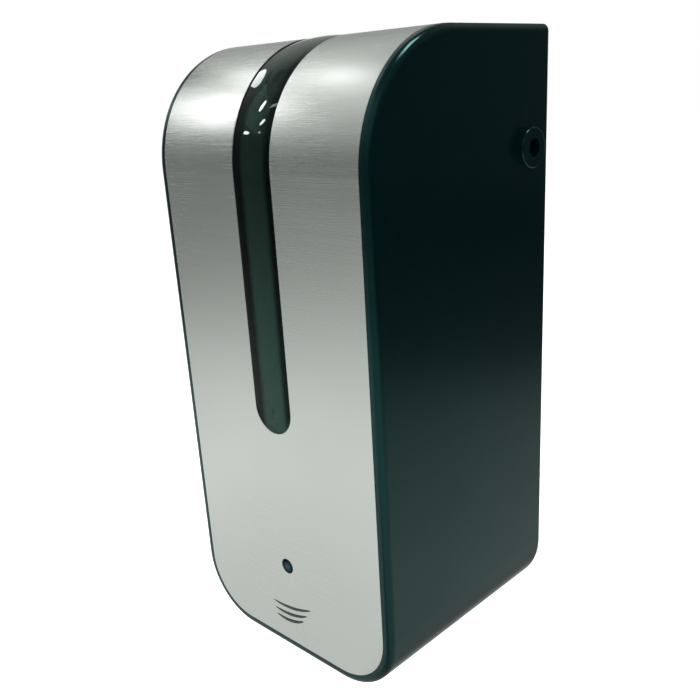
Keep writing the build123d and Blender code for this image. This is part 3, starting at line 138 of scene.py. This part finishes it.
# Smoked window: half widths of its clear middle and of its painted dark edge, the shift of
# the middle, the heights between which painted shade deepens its tint, its tints below,
# above and at the edge, painted lighter below and darker above and at the edge, and the
# scale of its waves with their strength and height
WINDOW_CLEAR = 5.3 * MM
WINDOW_SHADED_EDGE = 7.8 * MM
WINDOW_SHADE_SHIFT = 0.8 * MM
PAINTED_SHADE_HEIGHTS = (LOW.z + 125 * MM, LOW.z + 228 * MM)
WINDOW_PAINTED_TINTS = ((0.16, 0.33, 0.27), (0.035, 0.07, 0.055), (0.004, 0.010, 0.012))
WINDOW_WAVE_SCALE = 30.0
WINDOW_BUMP = (0.03, 0.2 * MM)

# Cell: shares of its length from the middle at which the copper band and the ends begin,
# how metallic the band is, and the scale of its wear
BAND_SHARE = 0.26
END_SHARE = 0.455
BAND_METALLIC = 0.8
WEAR_SCALE = 120.0

# Depth of the motor's plastic end cap, and the scale of the spangle on its zinc
MOTOR_CAP = 6.0 * MM
SPANGLE_SCALE = 210.0

# Depth of the board under the parts on it, and its tracks: bricks and the gaps between
BOARD_DEPTH = 1.7 * MM
BOARD_BRICKS = (("Scale", 190.0), ("Mortar Size", 0.035), ("Color1", (0.012, 0.10, 0.035)),
                ("Color2", (0.010, 0.085, 0.03)), ("Mortar", (0.03, 0.22, 0.07)))

# Eye: the shift to the right of its painted bluish highlight and the radii over which it fades
HIGHLIGHT_SHIFT = 0.6 * MM
HIGHLIGHT_RADII = (0.5 * MM, 2.8 * MM)

# Printed arcs: name, then in millimetres the middle, the height above the foot, half the
# width, the sag and the thickness
ARCS = (
    ("guide_arc_1", 0.4, 24.4, 13.0, 1.75, 1.5),
    ("guide_arc_2", -0.5, 20.5, 11.1, 1.7, 1.6),
    ("guide_arc_3", -1.4, 17.0, 9.4, 1.8, 1.7),
)
ARC_LEAN = math.radians(10.0)
ARC_STEPS = 24
ARC_INK = 0.02 * MM  # the ink reaches this far in front of the plate and into it
ARC_TIP = 0.02  # half the thickness, in millimetres, that stays at the tips

# Studio: the room that the object reflects, its lights and its white floor
ROOM_RADIUS = 1.7
ROOM_TINT = (0.945, 1.0, 0.955)
DOME_ANGLES = range(-5, 91, 5)
MIRROR_DULL = 0.3
MIRROR_CROWN = 1.35  # the window's end over the crown reflects the back wall more fully
CARD_REACH = 1.5
FLOOR_REACH = 6.0
FLOOR_DROP = 0.13  # the object hangs on a wall, and its cover swings down past its foot
FLOOR_GREY = (0.66, 0.66, 0.66)
FLOOR_LIFT = 0.85
# painted shadow: the room's floor glows darker in a strip along the housing's right side
SHADOW_BESIDE = 60 * MM  # the floor is in shade close to the housing's right side
WORLD_LEVEL = 0.36

# Grey levels of the room by shares of its radius: along the floor, and up the walls in
# front and at the back
FLOOR_LEVELS = ((0.05, 0.72), (0.10, 0.79), (0.17, 0.96), (0.24, 0.96), (0.32, 0.73),
                (0.42, 0.48), (0.60, 0.27), (0.90, 0.20))
FRONT_LEVELS = ((0.0, 0.20), (0.12, 0.22), (0.21, 0.27), (0.29, 0.36), (0.37, 0.53),
                (0.5, 0.72), (0.74, 0.92), (0.83, 0.45), (0.92, 0.20))
BACK_LEVELS = ((0.0, 0.95), (0.20, 0.85), (0.36, 0.34), (0.46, 0.36), (0.6, 0.50),
               (0.72, 0.70), (0.82, 0.40), (0.92, 0.20))

# Spans: a value's low and high end, and the levels that it gives there
FLOOR_BEHIND = (0.05 * ROOM_RADIUS, 0.36 * ROOM_RADIUS, 1.0, 0.12)
FLOOR_SHADOW_SPAN = (0.0, 25 * MM, 0.35, 1.0)
WALL_TURN = (0.45 * ROOM_RADIUS, 1.05 * ROOM_RADIUS, 0.0, 1.0)
WALL_BEHIND = (0.0, 0.4 * ROOM_RADIUS, 1.0, 0.35)
WALL_LEFT = (0.0, 0.35 * ROOM_RADIUS, 0.74, 1.0)
WALL_CROWN = (0.58 * ROOM_RADIUS, 1.3 * ROOM_RADIUS, MIRROR_DULL, MIRROR_CROWN)
WALL_CLOUD_SCALE = 1.6
WALL_CLOUDS = (0.82, 1.12)

# Glowing cards: name, azimuth, elevation, width, height, turn in degrees and level. The
# first ones show in satin surfaces, and the lamps in the window alone
CARDS = (
    ("low_box", -69, 30.0, 0.28, 0.12, -50, 2.7),
    ("high_box", -86, 46.0, 0.30, 0.11, -5, 2.6),
    ("long_box", -90, 39.8, 0.34, 0.04, 4, 4.6),
    ("side_box", -66.5, 32.0, 0.15, 0.055, -35, 14.0),
    ("foot_box", -61, 23.0, 0.07, 0.04, -50, 14.0),
    ("ceiling_box", 130, 70.0, 0.50, 0.50, 0, 11.0),
)
LAMPS = (
    ("lamp_1", -97.5, 32.4, 0.42, 0.17, 17, 6.0),
    ("lamp_2", -60.8, 35.1, 0.19, 0.07, 112, 22.0),
    ("lamp_3", -49.0, 27.7, 0.13, 0.06, 76, 20.0),
    ("lamp_4", -59.5, 17.6, 0.15, 0.05, 14, 16.0),
    ("lamp_5", -46.8, 21.1, 0.05, 0.04, 0, 8.0),
    ("lamp_6", -51.5, 40.1, 0.14, 0.05, 76, 4.0),
)
CARD_CORNERS = 4
LAMP_CORNERS = 24
CARD_MIRRORED = 0.5 * MIRROR_DULL

# Soft lights: name, azimuth, elevation, distance, size, power and colour
SOFT_LIGHTS = (
    ("key", -62, 33, 1.6, (0.9, 0.6), 12.0, WHITE),
    ("fill", 40, 45, 2.2, (1.6, 1.6), 14.0, (0.93, 0.97, 1.0)),
    ("top", -120, 70, 1.8, (1.2, 1.2), 11.0, WHITE),
)


class Shader:
    """A material's node tree, with short calls for the nodes that the materials use."""

    def __init__(self, name):
        self.material = bpy.data.materials.new(name)
        self.material.use_nodes = True
        self.tree = self.material.node_tree
        self.surface = self.tree.nodes["Principled BSDF"]
        self.place = None

    def add(self, kind, **values):
        node = self.tree.nodes.new(kind)
        for key, value in values.items():
            setattr(node, key, value)
        return node

    def feed(self, value, socket):
        """Give a socket a number, a colour or what comes out of another node."""
        if isinstance(value, (int, float)):
            socket.default_value = value
        elif isinstance(value, tuple):
            socket.default_value = (*value, 1.0)
        else:
            self.tree.links.new(value, socket)

    def set(self, **sockets):
        """Feed sockets of the surface, whose names have underscores for their spaces."""
        for key, value in sockets.items():
            self.feed(value, self.surface.inputs[key.replace("_", " ")])

    def coordinates(self, kind="Object"):
        """The piece's own coordinates, which ride with it: Object in metres, Generated
        in shares of its box."""
        if self.place is None:
            self.place = self.add("ShaderNodeTexCoord")
        return self.place.outputs[kind]

    def axis(self, name, kind="Object"):
        node = self.add("ShaderNodeSeparateXYZ")
        self.feed(self.coordinates(kind), node.inputs["Vector"])
        return node.outputs[name]

    def noise(self, scale, detail=3.0, roughness=0.5, stretch=None):
        """Noise in the piece's own coordinates, stretched along its axes where asked."""
        node = self.add("ShaderNodeTexNoise")
        node.inputs["Scale"].default_value = scale
        node.inputs["Detail"].default_value = detail
        node.inputs["Roughness"].default_value = roughness
        place = self.coordinates()
        if stretch:
            mapping = self.add("ShaderNodeMapping")
            mapping.inputs["Scale"].default_value = stretch
            self.feed(place, mapping.inputs["Vector"])
            place = mapping.outputs["Vector"]
        self.feed(place, node.inputs["Vector"])
        return node.outputs["Fac"]

    def span(self, source, low, high, to_low=0.0, to_high=1.0):
        """A value between two ends, carried over to lie between two others."""
        node = self.add("ShaderNodeMapRange")
        for key, value in (("Value", source), ("From Min", low), ("From Max", high),
                           ("To Min", to_low), ("To Max", to_high)):
            self.feed(value, node.inputs[key])
        return node.outputs["Result"]

    def spread(self, noise, low, high):
        """Noise carried over to lie mostly between two values."""
        return self.span(noise, NOISE_LOW, NOISE_HIGH, low, high)

    def math(self, operation, first, second=0.0):
        node = self.add("ShaderNodeMath", operation=operation)
        for socket, value in zip(node.inputs, (first, second)):
            self.feed(value, socket)
        return node.outputs["Value"]

    def away(self, source, place):
        """How far a value is from a place, to either side."""
        return self.math("ABSOLUTE", self.math("SUBTRACT", source, place))

    def reach(self, first, second):
        """The length that two lengths at right angles make."""
        squares = self.math("ADD", self.math("MULTIPLY", first, first),
                            self.math("MULTIPLY", second, second))
        return self.math("SQRT", squares)

    def blend(self, factor, first, second, kind="MIX"):
        """Two colours mixed by a factor."""
        node = self.add("ShaderNodeMix", data_type="RGBA", blend_type=kind)
        self.feed(factor, node.inputs["Factor"])
        colors = [socket for socket in node.inputs if socket.type == "RGBA"]
        for value, socket in zip((first, second), colors):
            self.feed(value, socket)
        return next(socket for socket in node.outputs if socket.type == "RGBA")

    def ramp(self, source, stops):
        """Grey levels along a value, from pairs of a position and a level."""
        node = self.add("ShaderNodeValToRGB")
        points = node.color_ramp.elements
        while len(points) < len(stops):
            points.new(1.0)
        for point, (position, level) in zip(points, stops):
            point.position = position
            point.color = (level, level, level, 1.0)
        self.feed(source, node.inputs["Fac"])
        return node.outputs["Color"]

    def bump(self, height, strength, distance):
        node = self.add("ShaderNodeBump")
        node.inputs["Strength"].default_value = strength
        node.inputs["Distance"].default_value = distance
        self.feed(height, node.inputs["Height"])
        self.set(Normal=node.outputs["Normal"])


def surfaced(name, kind, color, roughness, strength=None, shades=None, **sockets):
    """A material of one kind: a mottled colour, an uneven sheen and a fine skin."""
    look = KINDS[kind]
    shader = Shader(name)
    shader.set(**look["common"], **sockets)
    dark, light = (tuple(min(1.0, share * c) for c in color)
                   for share in shades or look["shades"])
    shader.set(Base_Color=shader.blend(shader.noise(*look["colour"]), dark, light))
    low, high = (share * roughness for share in look["spread"])
    shader.set(Roughness=shader.spread(shader.noise(*look["sheen"]), low, high))
    shader.bump(shader.noise(*look["skin"]), strength or look["strength"], look["height"])
    return shader.material


def brushed_steel():
    """Satin stainless steel with its grain across the front, in long fine scratches."""
    shader = Shader("brushed_front")
    shader.set(Metallic=1.0, Anisotropic=0.8)
    fine = shader.noise(1.0, detail=3.0, roughness=0.7, stretch=STEEL_FINE)
    broad = shader.noise(1.0, detail=2.0, roughness=0.5, stretch=STEEL_BROAD)
    cloud = shader.noise(STEEL_CLOUD_SCALE, detail=2.0)
    grain = shader.math("ADD", shader.math("MULTIPLY", fine, STEEL_FINE_SHARE),
                        shader.math("MULTIPLY", broad, STEEL_BROAD_SHARE))
    shader.set(Base_Color=shader.blend(shader.spread(grain, 0.0, 1.0), *STEEL_COLORS))
    shader.set(Roughness=shader.math("ADD", shader.spread(grain, *STEEL_ROUGHNESS),
                                     shader.spread(cloud, *STEEL_CLOUDING)))
    tangent = shader.add("ShaderNodeTangent", direction_type="RADIAL", axis="X")
    shader.set(Tangent=tangent.outputs["Tangent"])
    shader.bump(grain, *STEEL_BUMP)
    return shader.material


def smoked_window():
    """Smoked window with painted shade: its edges are painted darker than its clear middle,
    whose tint is painted lighter below and darker towards the crown."""
    shader = Shader("smoked_window")
    shader.set(IOR=1.49, Transmission_Weight=0.85, Roughness=0.0, Specular_IOR_Level=0.3,
               Specular_Tint=(0.75, 1.0, 0.92))
    # painted shade: the tint darkens towards the edges, off the middle by the shift
    edge = shader.span(shader.away(shader.axis("X"), WINDOW_SHADE_SHIFT), WINDOW_CLEAR, WINDOW_SHADED_EDGE)
    # painted shade: the middle's tint is lighter below and darker towards the crown
    painted_crown_shade = shader.span(shader.axis("Z"), *PAINTED_SHADE_HEIGHTS)
    below, above, side = WINDOW_PAINTED_TINTS
    middle = shader.blend(painted_crown_shade, below, above)
    shader.set(Base_Color=shader.blend(edge, middle, side))
    shader.bump(shader.noise(WINDOW_WAVE_SCALE, detail=2.0), *WINDOW_BUMP)
    return shader.material


def cell_jacket():
    """Plain cell jacket: black with a copper band towards each end, ends of bare steel."""
    shader = Shader("cell_jacket")
    from_middle = shader.away(shader.axis("X", "Generated"), 0.5)
    band = shader.math("GREATER_THAN", from_middle, BAND_SHARE)
    end = shader.math("GREATER_THAN", from_middle, END_SHARE)
    wear = shader.noise(WEAR_SCALE, detail=4.0)
    copper = shader.blend(wear, (0.40, 0.19, 0.09), (0.55, 0.29, 0.15))
    paint = shader.blend(band, (0.012, 0.012, 0.014), copper)
    shader.set(Base_Color=shader.blend(end, paint, (0.62, 0.62, 0.60)))
    shader.set(Metallic=shader.math("MAXIMUM", shader.math("MULTIPLY", band, BAND_METALLIC), end))
    shader.set(Roughness=shader.spread(wear, 0.22, 0.34))
    return shader.material


def motor_can():
    """Zinc plated can with a dark plastic end cap at the terminals."""
    shader = Shader("motor_can")
    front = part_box("gear_motor")[0].y
    cap = shader.math("LESS_THAN", shader.axis("Y"), front + MOTOR_CAP)
    spangle = shader.noise(SPANGLE_SCALE, detail=4.0)
    zinc = shader.blend(spangle, (0.50, 0.51, 0.52), (0.66, 0.66, 0.65))
    shader.set(Base_Color=shader.blend(cap, zinc, (0.03, 0.03, 0.032)))
    shader.set(Metallic=shader.math("SUBTRACT", 1.0, cap))
    shader.set(Roughness=shader.spread(spangle, 0.24, 0.4))
    return shader.material


def circuit_board():
    """Green board with copper tracks, black parts on its back."""
    shader = Shader("board_green")
    brick = shader.add("ShaderNodeTexBrick")
    for key, value in BOARD_BRICKS:
        shader.feed(value, brick.inputs[key])
    swap = shader.add("ShaderNodeCombineXYZ")
    shader.feed(shader.axis("X"), swap.inputs["X"])
    shader.feed(shader.axis("Z"), swap.inputs["Y"])
    shader.feed(swap.outputs["Vector"], brick.inputs["Vector"])
    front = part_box("control_board")[0].y
    raised = shader.math("GREATER_THAN", shader.axis("Y"), front + BOARD_DEPTH)
    shader.set(Base_Color=shader.blend(raised, brick.outputs["Color"], (0.015, 0.015, 0.016)),
               Roughness=0.35)
    return shader.material


def sensor_eye():
    """Glossy black eye with a painted bluish highlight near its middle."""
    shader = Shader("indicator_eye")
    low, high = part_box("eye_lens")
    middle = (low + high) / 2
    across = shader.math("SUBTRACT", shader.axis("X"), middle.x + HIGHLIGHT_SHIFT)
    along = shader.math("SUBTRACT", shader.axis("Z"), middle.z)
    # painted highlight: a bluish glow in the eye, a little right of its middle
    painted_highlight = shader.span(shader.reach(across, along), *HIGHLIGHT_RADII, 1.0, 0.0)
    shader.set(Base_Color=shader.blend(painted_highlight, (0.002, 0.005, 0.006), (0.055, 0.11, 0.14)),
               Roughness=0.0, Specular_IOR_Level=0.1)
    return shader.material


def make_materials():
    """The material of every slot."""
    materials = {name: surfaced(name, kind, color, roughness, **more)
                 for name, kind, color, roughness, more in SURFACES}
    materials["brushed_front"] = brushed_steel()
    materials["smoked_window"] = smoked_window()
    materials["eye_black"] = sensor_eye()
    materials["motor_can"] = motor_can()
    materials["cell_jacket"] = cell_jacket()
    materials["board_green"] = circuit_board()
    return materials


def dress_nodes():
    """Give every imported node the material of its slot."""
    materials = make_materials()
    for entry in frame["record"]["subparts"]:
        mesh = NODES[entry["node"]].data
        mesh.materials.clear()
        mesh.materials.append(materials[entry["material_slot"]])


def add_object(name, data):
    """An object of a mesh, a light or a camera, in the scene."""
    added = bpy.data.objects.new(name, data)
    bpy.context.scene.collection.objects.link(added)
    return added


def mesh_of(name, vertices, faces, material):
    mesh = bpy.data.meshes.new(name)
    mesh.from_pydata(vertices, [], faces)
    mesh.materials.append(material)
    return mesh


def new_piece(name, vertices, faces, material, body):
    """A smooth piece from points and faces that rides on a body."""
    piece = add_object(name, mesh_of(name, vertices, faces, material))
    for polygon in piece.data.polygons:
        polygon.use_smooth = True
    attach(piece, body)


def printed_arcs():
    """Three printed crescents under the eye, which show where the hand goes."""
    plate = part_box("steel_front")[0].y
    face, back = plate - ARC_INK, plate + ARC_INK
    ink = surfaced("arc_ink", "moulded", (0.03, 0.036, 0.035), 0.45)
    last = 4 * ARC_STEPS
    faces = [(0, 2, 3, 1), (last, last + 1, last + 3, last + 2)]
    for step in range(ARC_STEPS):
        a, b = 4 * step, 4 * (step + 1)
        faces += [(a, a + 1, b + 1, b), (a + 2, b + 2, b + 3, a + 3),
                  (a, b, b + 2, a + 2), (a + 1, a + 3, b + 3, b + 1)]
    for name, centre, height, half, sag, thick in ARCS:
        vertices = []
        for step in range(ARC_STEPS + 1):
            share = 2 * step / ARC_STEPS - 1
            bow = 1 - share * share
            side = 0.5 * thick * math.sqrt(max(0.0, bow)) + ARC_TIP
            for depth, edge in ((face, side), (face, -side), (back, side), (back, -side)):
                along, rise = half * share, edge - sag * bow
                x = centre + along * math.cos(ARC_LEAN) - rise * math.sin(ARC_LEAN)
                z = height + along * math.sin(ARC_LEAN) + rise * math.cos(ARC_LEAN)
                vertices.append((x * MM, depth, LOW.z + z * MM))
        new_piece(name, vertices, faces, ink, "cover")


def direction(azimuth, elevation):
    """Unit vector towards an azimuth, 0 in front and positive to the right, and an
    elevation."""
    a, e = math.radians(azimuth), math.radians(elevation)
    return Vector((math.sin(a) * math.cos(e), -math.cos(a) * math.cos(e), math.sin(e)))


def glow(name):
    """Shader whose surface only gives off light."""
    shader = Shader(name)
    shader.set(Base_Color=BLACK, Specular_IOR_Level=0.0, Roughness=1.0)
    return shader


def in_mirrors(shader, sharp, soft):
    """Give a light one strength in sharp mirrors and another in satin and matt surfaces."""
    mirrored = shader.add("ShaderNodeLightPath").outputs["Is Singular Ray"]
    shader.set(Emission_Strength=shader.span(mirrored, 0.0, 1.0, soft, sharp))


def studio_piece(name, vertices, faces, material, shown=True):
    """A piece of the studio. Where it isn't shown, it is seen in reflections alone."""
    piece = add_object(name, mesh_of(name, vertices, faces, material))
    if not shown:
        piece.visible_camera = False
        piece.visible_diffuse = False
        piece.visible_shadow = False
        piece.visible_transmission = False
        piece.visible_volume_scatter = False


def revolved(name, outline, material, steps=96):
    """A part of the room turned round the vertical axis, seen only in reflections."""
    vertices, faces = [], []
    for step in range(steps):
        turn = 2 * math.pi * step / steps
        vertices += [(r * math.cos(turn), r * math.sin(turn), z) for r, z in outline]
    count = len(outline)
    for step in range(steps):
        a, b = count * step, count * ((step + 1) % steps)
        faces += [(a + k, b + k, b + k + 1, a + k + 1) for k in range(count - 1)]
    studio_piece(name, vertices, faces, material, shown=False)


def card(name, azimuth, elevation, width, height, turn, corners, sharp, soft):
    """A glowing card that faces the crown, turned about the line to it, with as many
    corners as asked and its strengths in sharp mirrors and elsewhere."""
    out = direction(azimuth, elevation)
    across = direction(azimuth + 90, 0)
    upward = out.cross(across)
    a = math.radians(turn)
    right = math.cos(a) * across + math.sin(a) * upward
    top = -math.sin(a) * across + math.cos(a) * upward
    centre = CROWN + out * CARD_REACH
    reach = 0.5 / math.cos(math.pi / corners)
    points = []
    for corner in range(corners):
        spin = 2 * math.pi * (corner + 0.5) / corners
        points.append(centre + reach * (math.cos(spin) * width * right
                                        + math.sin(spin) * height * top))
    shader = glow(name)
    shader.set(Emission_Color=WHITE)
    in_mirrors(shader, sharp, soft)
    studio_piece(name, points, [tuple(range(corners))], shader.material, shown=False)


def give_room_light(shader, dim, level):
    """The room's tint at a grey level, dimmed by a factor."""
    tinted = shader.blend(1.0, level, ROOM_TINT, "MULTIPLY")
    shader.set(Emission_Color=shader.blend(dim, BLACK, tinted))


def room_floor():
    """Floor of the room: bright near the object, dull far off and behind it, with a
    painted shadow close to its right side."""
    shader = glow("room_floor")
    x, y = shader.axis("X"), shader.axis("Y")
    share = shader.math("DIVIDE", shader.reach(x, y), ROOM_RADIUS)
    behind = shader.span(shader.math("ADD", x, y), *FLOOR_BEHIND)
    # painted shadow of the housing on the room's floor, close to its right side
    painted_shadow = shader.span(shader.away(x, SHADOW_BESIDE), *FLOOR_SHADOW_SPAN)
    in_mirrors(shader, MIRROR_DULL, 1.0)
    give_room_light(shader, shader.math("MULTIPLY", behind, painted_shadow),
                    shader.ramp(share, FLOOR_LEVELS))
    return shader.material


def room_wall():
    """Walls and ceiling of the room: dull and low in front, bright at the back on the
    left."""
    shader = glow("room_wall")
    x, y = shader.axis("X"), shader.axis("Y")
    rise = shader.math("DIVIDE", shader.axis("Z"), ROOM_RADIUS)
    left = shader.math("SUBTRACT", y, x)
    level = shader.blend(shader.span(left, *WALL_TURN), shader.ramp(rise, FRONT_LEVELS),
                         shader.ramp(rise, BACK_LEVELS))
    dim = shader.spread(shader.noise(WALL_CLOUD_SCALE), *WALL_CLOUDS)
    behind = shader.span(shader.math("ADD", x, y), *WALL_BEHIND)
    for shade in (behind, shader.span(left, *WALL_LEFT)):
        dim = shader.math("MULTIPLY", dim, shade)
    in_mirrors(shader, shader.span(left, *WALL_CROWN), 1.0)
    give_room_light(shader, dim, level)
    return shader.material


def soft_light(name, azimuth, elevation, distance, size, power, color):
    """A soft lamp that lights the pieces and stays out of their reflections."""
    lamp = bpy.data.lights.new(name, "AREA")
    lamp.shape = "RECTANGLE"
    lamp.size, lamp.size_y = size
    lamp.energy = power
    lamp.color = color
    light = add_object(name, lamp)
    light.location = direction(azimuth, elevation) * distance
    light.rotation_euler = light.location.to_track_quat("Z", "Y").to_euler()
    light.visible_glossy = False


def white_floor():
    """White floor that the camera sees as lit from within, so that it meets the
    background."""
    shader = Shader("floor_white")
    shader.set(Base_Color=FLOOR_GREY, Roughness=0.9, Specular_IOR_Level=0.0,
               Emission_Color=WHITE)
    seen = shader.add("ShaderNodeLightPath").outputs["Is Camera Ray"]
    shader.set(Emission_Strength=shader.math("MULTIPLY", seen, FLOOR_LIFT))
    corners = [(x * FLOOR_REACH, y * FLOOR_REACH, FLOOR - FLOOR_DROP)
               for x, y in ((-1, -1), (1, -1), (1, 1), (-1, 1))]
    studio_piece("floor", corners, [(0, 1, 2, 3)], shader.material)


def white_world():
    """Background: white to the camera and through clear pieces, softer as light."""
    world = bpy.data.worlds.new("studio")
    bpy.context.scene.world = world
    world.use_nodes = True
    tree = world.node_tree
    back = tree.nodes["Background"]
    back.inputs["Color"].default_value = (*WHITE, 1.0)
    path = tree.nodes.new("ShaderNodeLightPath")
    seen = tree.nodes.new("ShaderNodeMath")
    seen.operation = "MAXIMUM"
    tree.links.new(path.outputs["Is Camera Ray"], seen.inputs[0])
    tree.links.new(path.outputs["Is Transmission Ray"], seen.inputs[1])
    level = tree.nodes.new("ShaderNodeMapRange")
    level.inputs["To Min"].default_value = WORLD_LEVEL
    tree.links.new(seen.outputs["Value"], level.inputs["Value"])
    tree.links.new(level.outputs["Result"], back.inputs["Strength"])


def stage_set():
    """White floor and background, soft lamps, and the dull room that the steel reflects."""
    white_world()
    white_floor()
    revolved("room_floor", [(MM, FLOOR), (ROOM_RADIUS, FLOOR)], room_floor())
    dome = [(ROOM_RADIUS * math.cos(math.radians(angle)),
             ROOM_RADIUS * math.sin(math.radians(angle))) for angle in DOME_ANGLES]
    revolved("room_wall", dome, room_wall())
    for *place, level in CARDS:
        card(*place, CARD_CORNERS, CARD_MIRRORED, level)
    for *place, level in LAMPS:
        card(*place, LAMP_CORNERS, level, 0.0)
    for light in SOFT_LIGHTS:
        soft_light(*light)


def photo_camera():
    """The photograph's camera: its place, direction, roll and slight upward shift."""
    data = bpy.data.cameras.new("photo_camera")
    camera = add_object("photo_camera", data)
    back = direction(CAMERA_AZIMUTH, CAMERA_ELEVATION)
    right = (-back).cross(Vector((0, 0, 1))).normalized()
    up = right.cross(-back)
    roll = math.radians(CAMERA_ROLL)
    right, up = (math.cos(roll) * right + math.sin(roll) * up,
                 math.cos(roll) * up - math.sin(roll) * right)
    turn = Matrix((right, up, back)).transposed()
    camera.matrix_world = Matrix.Translation(CAMERA_PLACE) @ turn.to_4x4()
    data.sensor_width = SENSOR
    data.lens = FOCAL_PIXELS / FRAME_PIXELS * SENSOR
    data.shift_y = (CENTRE_ROW - FRAME_PIXELS / 2) / FRAME_PIXELS
    data.clip_start, data.clip_end = CAMERA_CLIP
    bpy.context.scene.camera = camera


for leftover in [o for o in bpy.data.objects if o.name in ("Cube", "Light", "Camera")]:
    bpy.data.objects.remove(leftover)
dress_nodes()
printed_arcs()
stage_set()
photo_camera()
bpy.context.scene.view_settings.view_transform = "Standard"
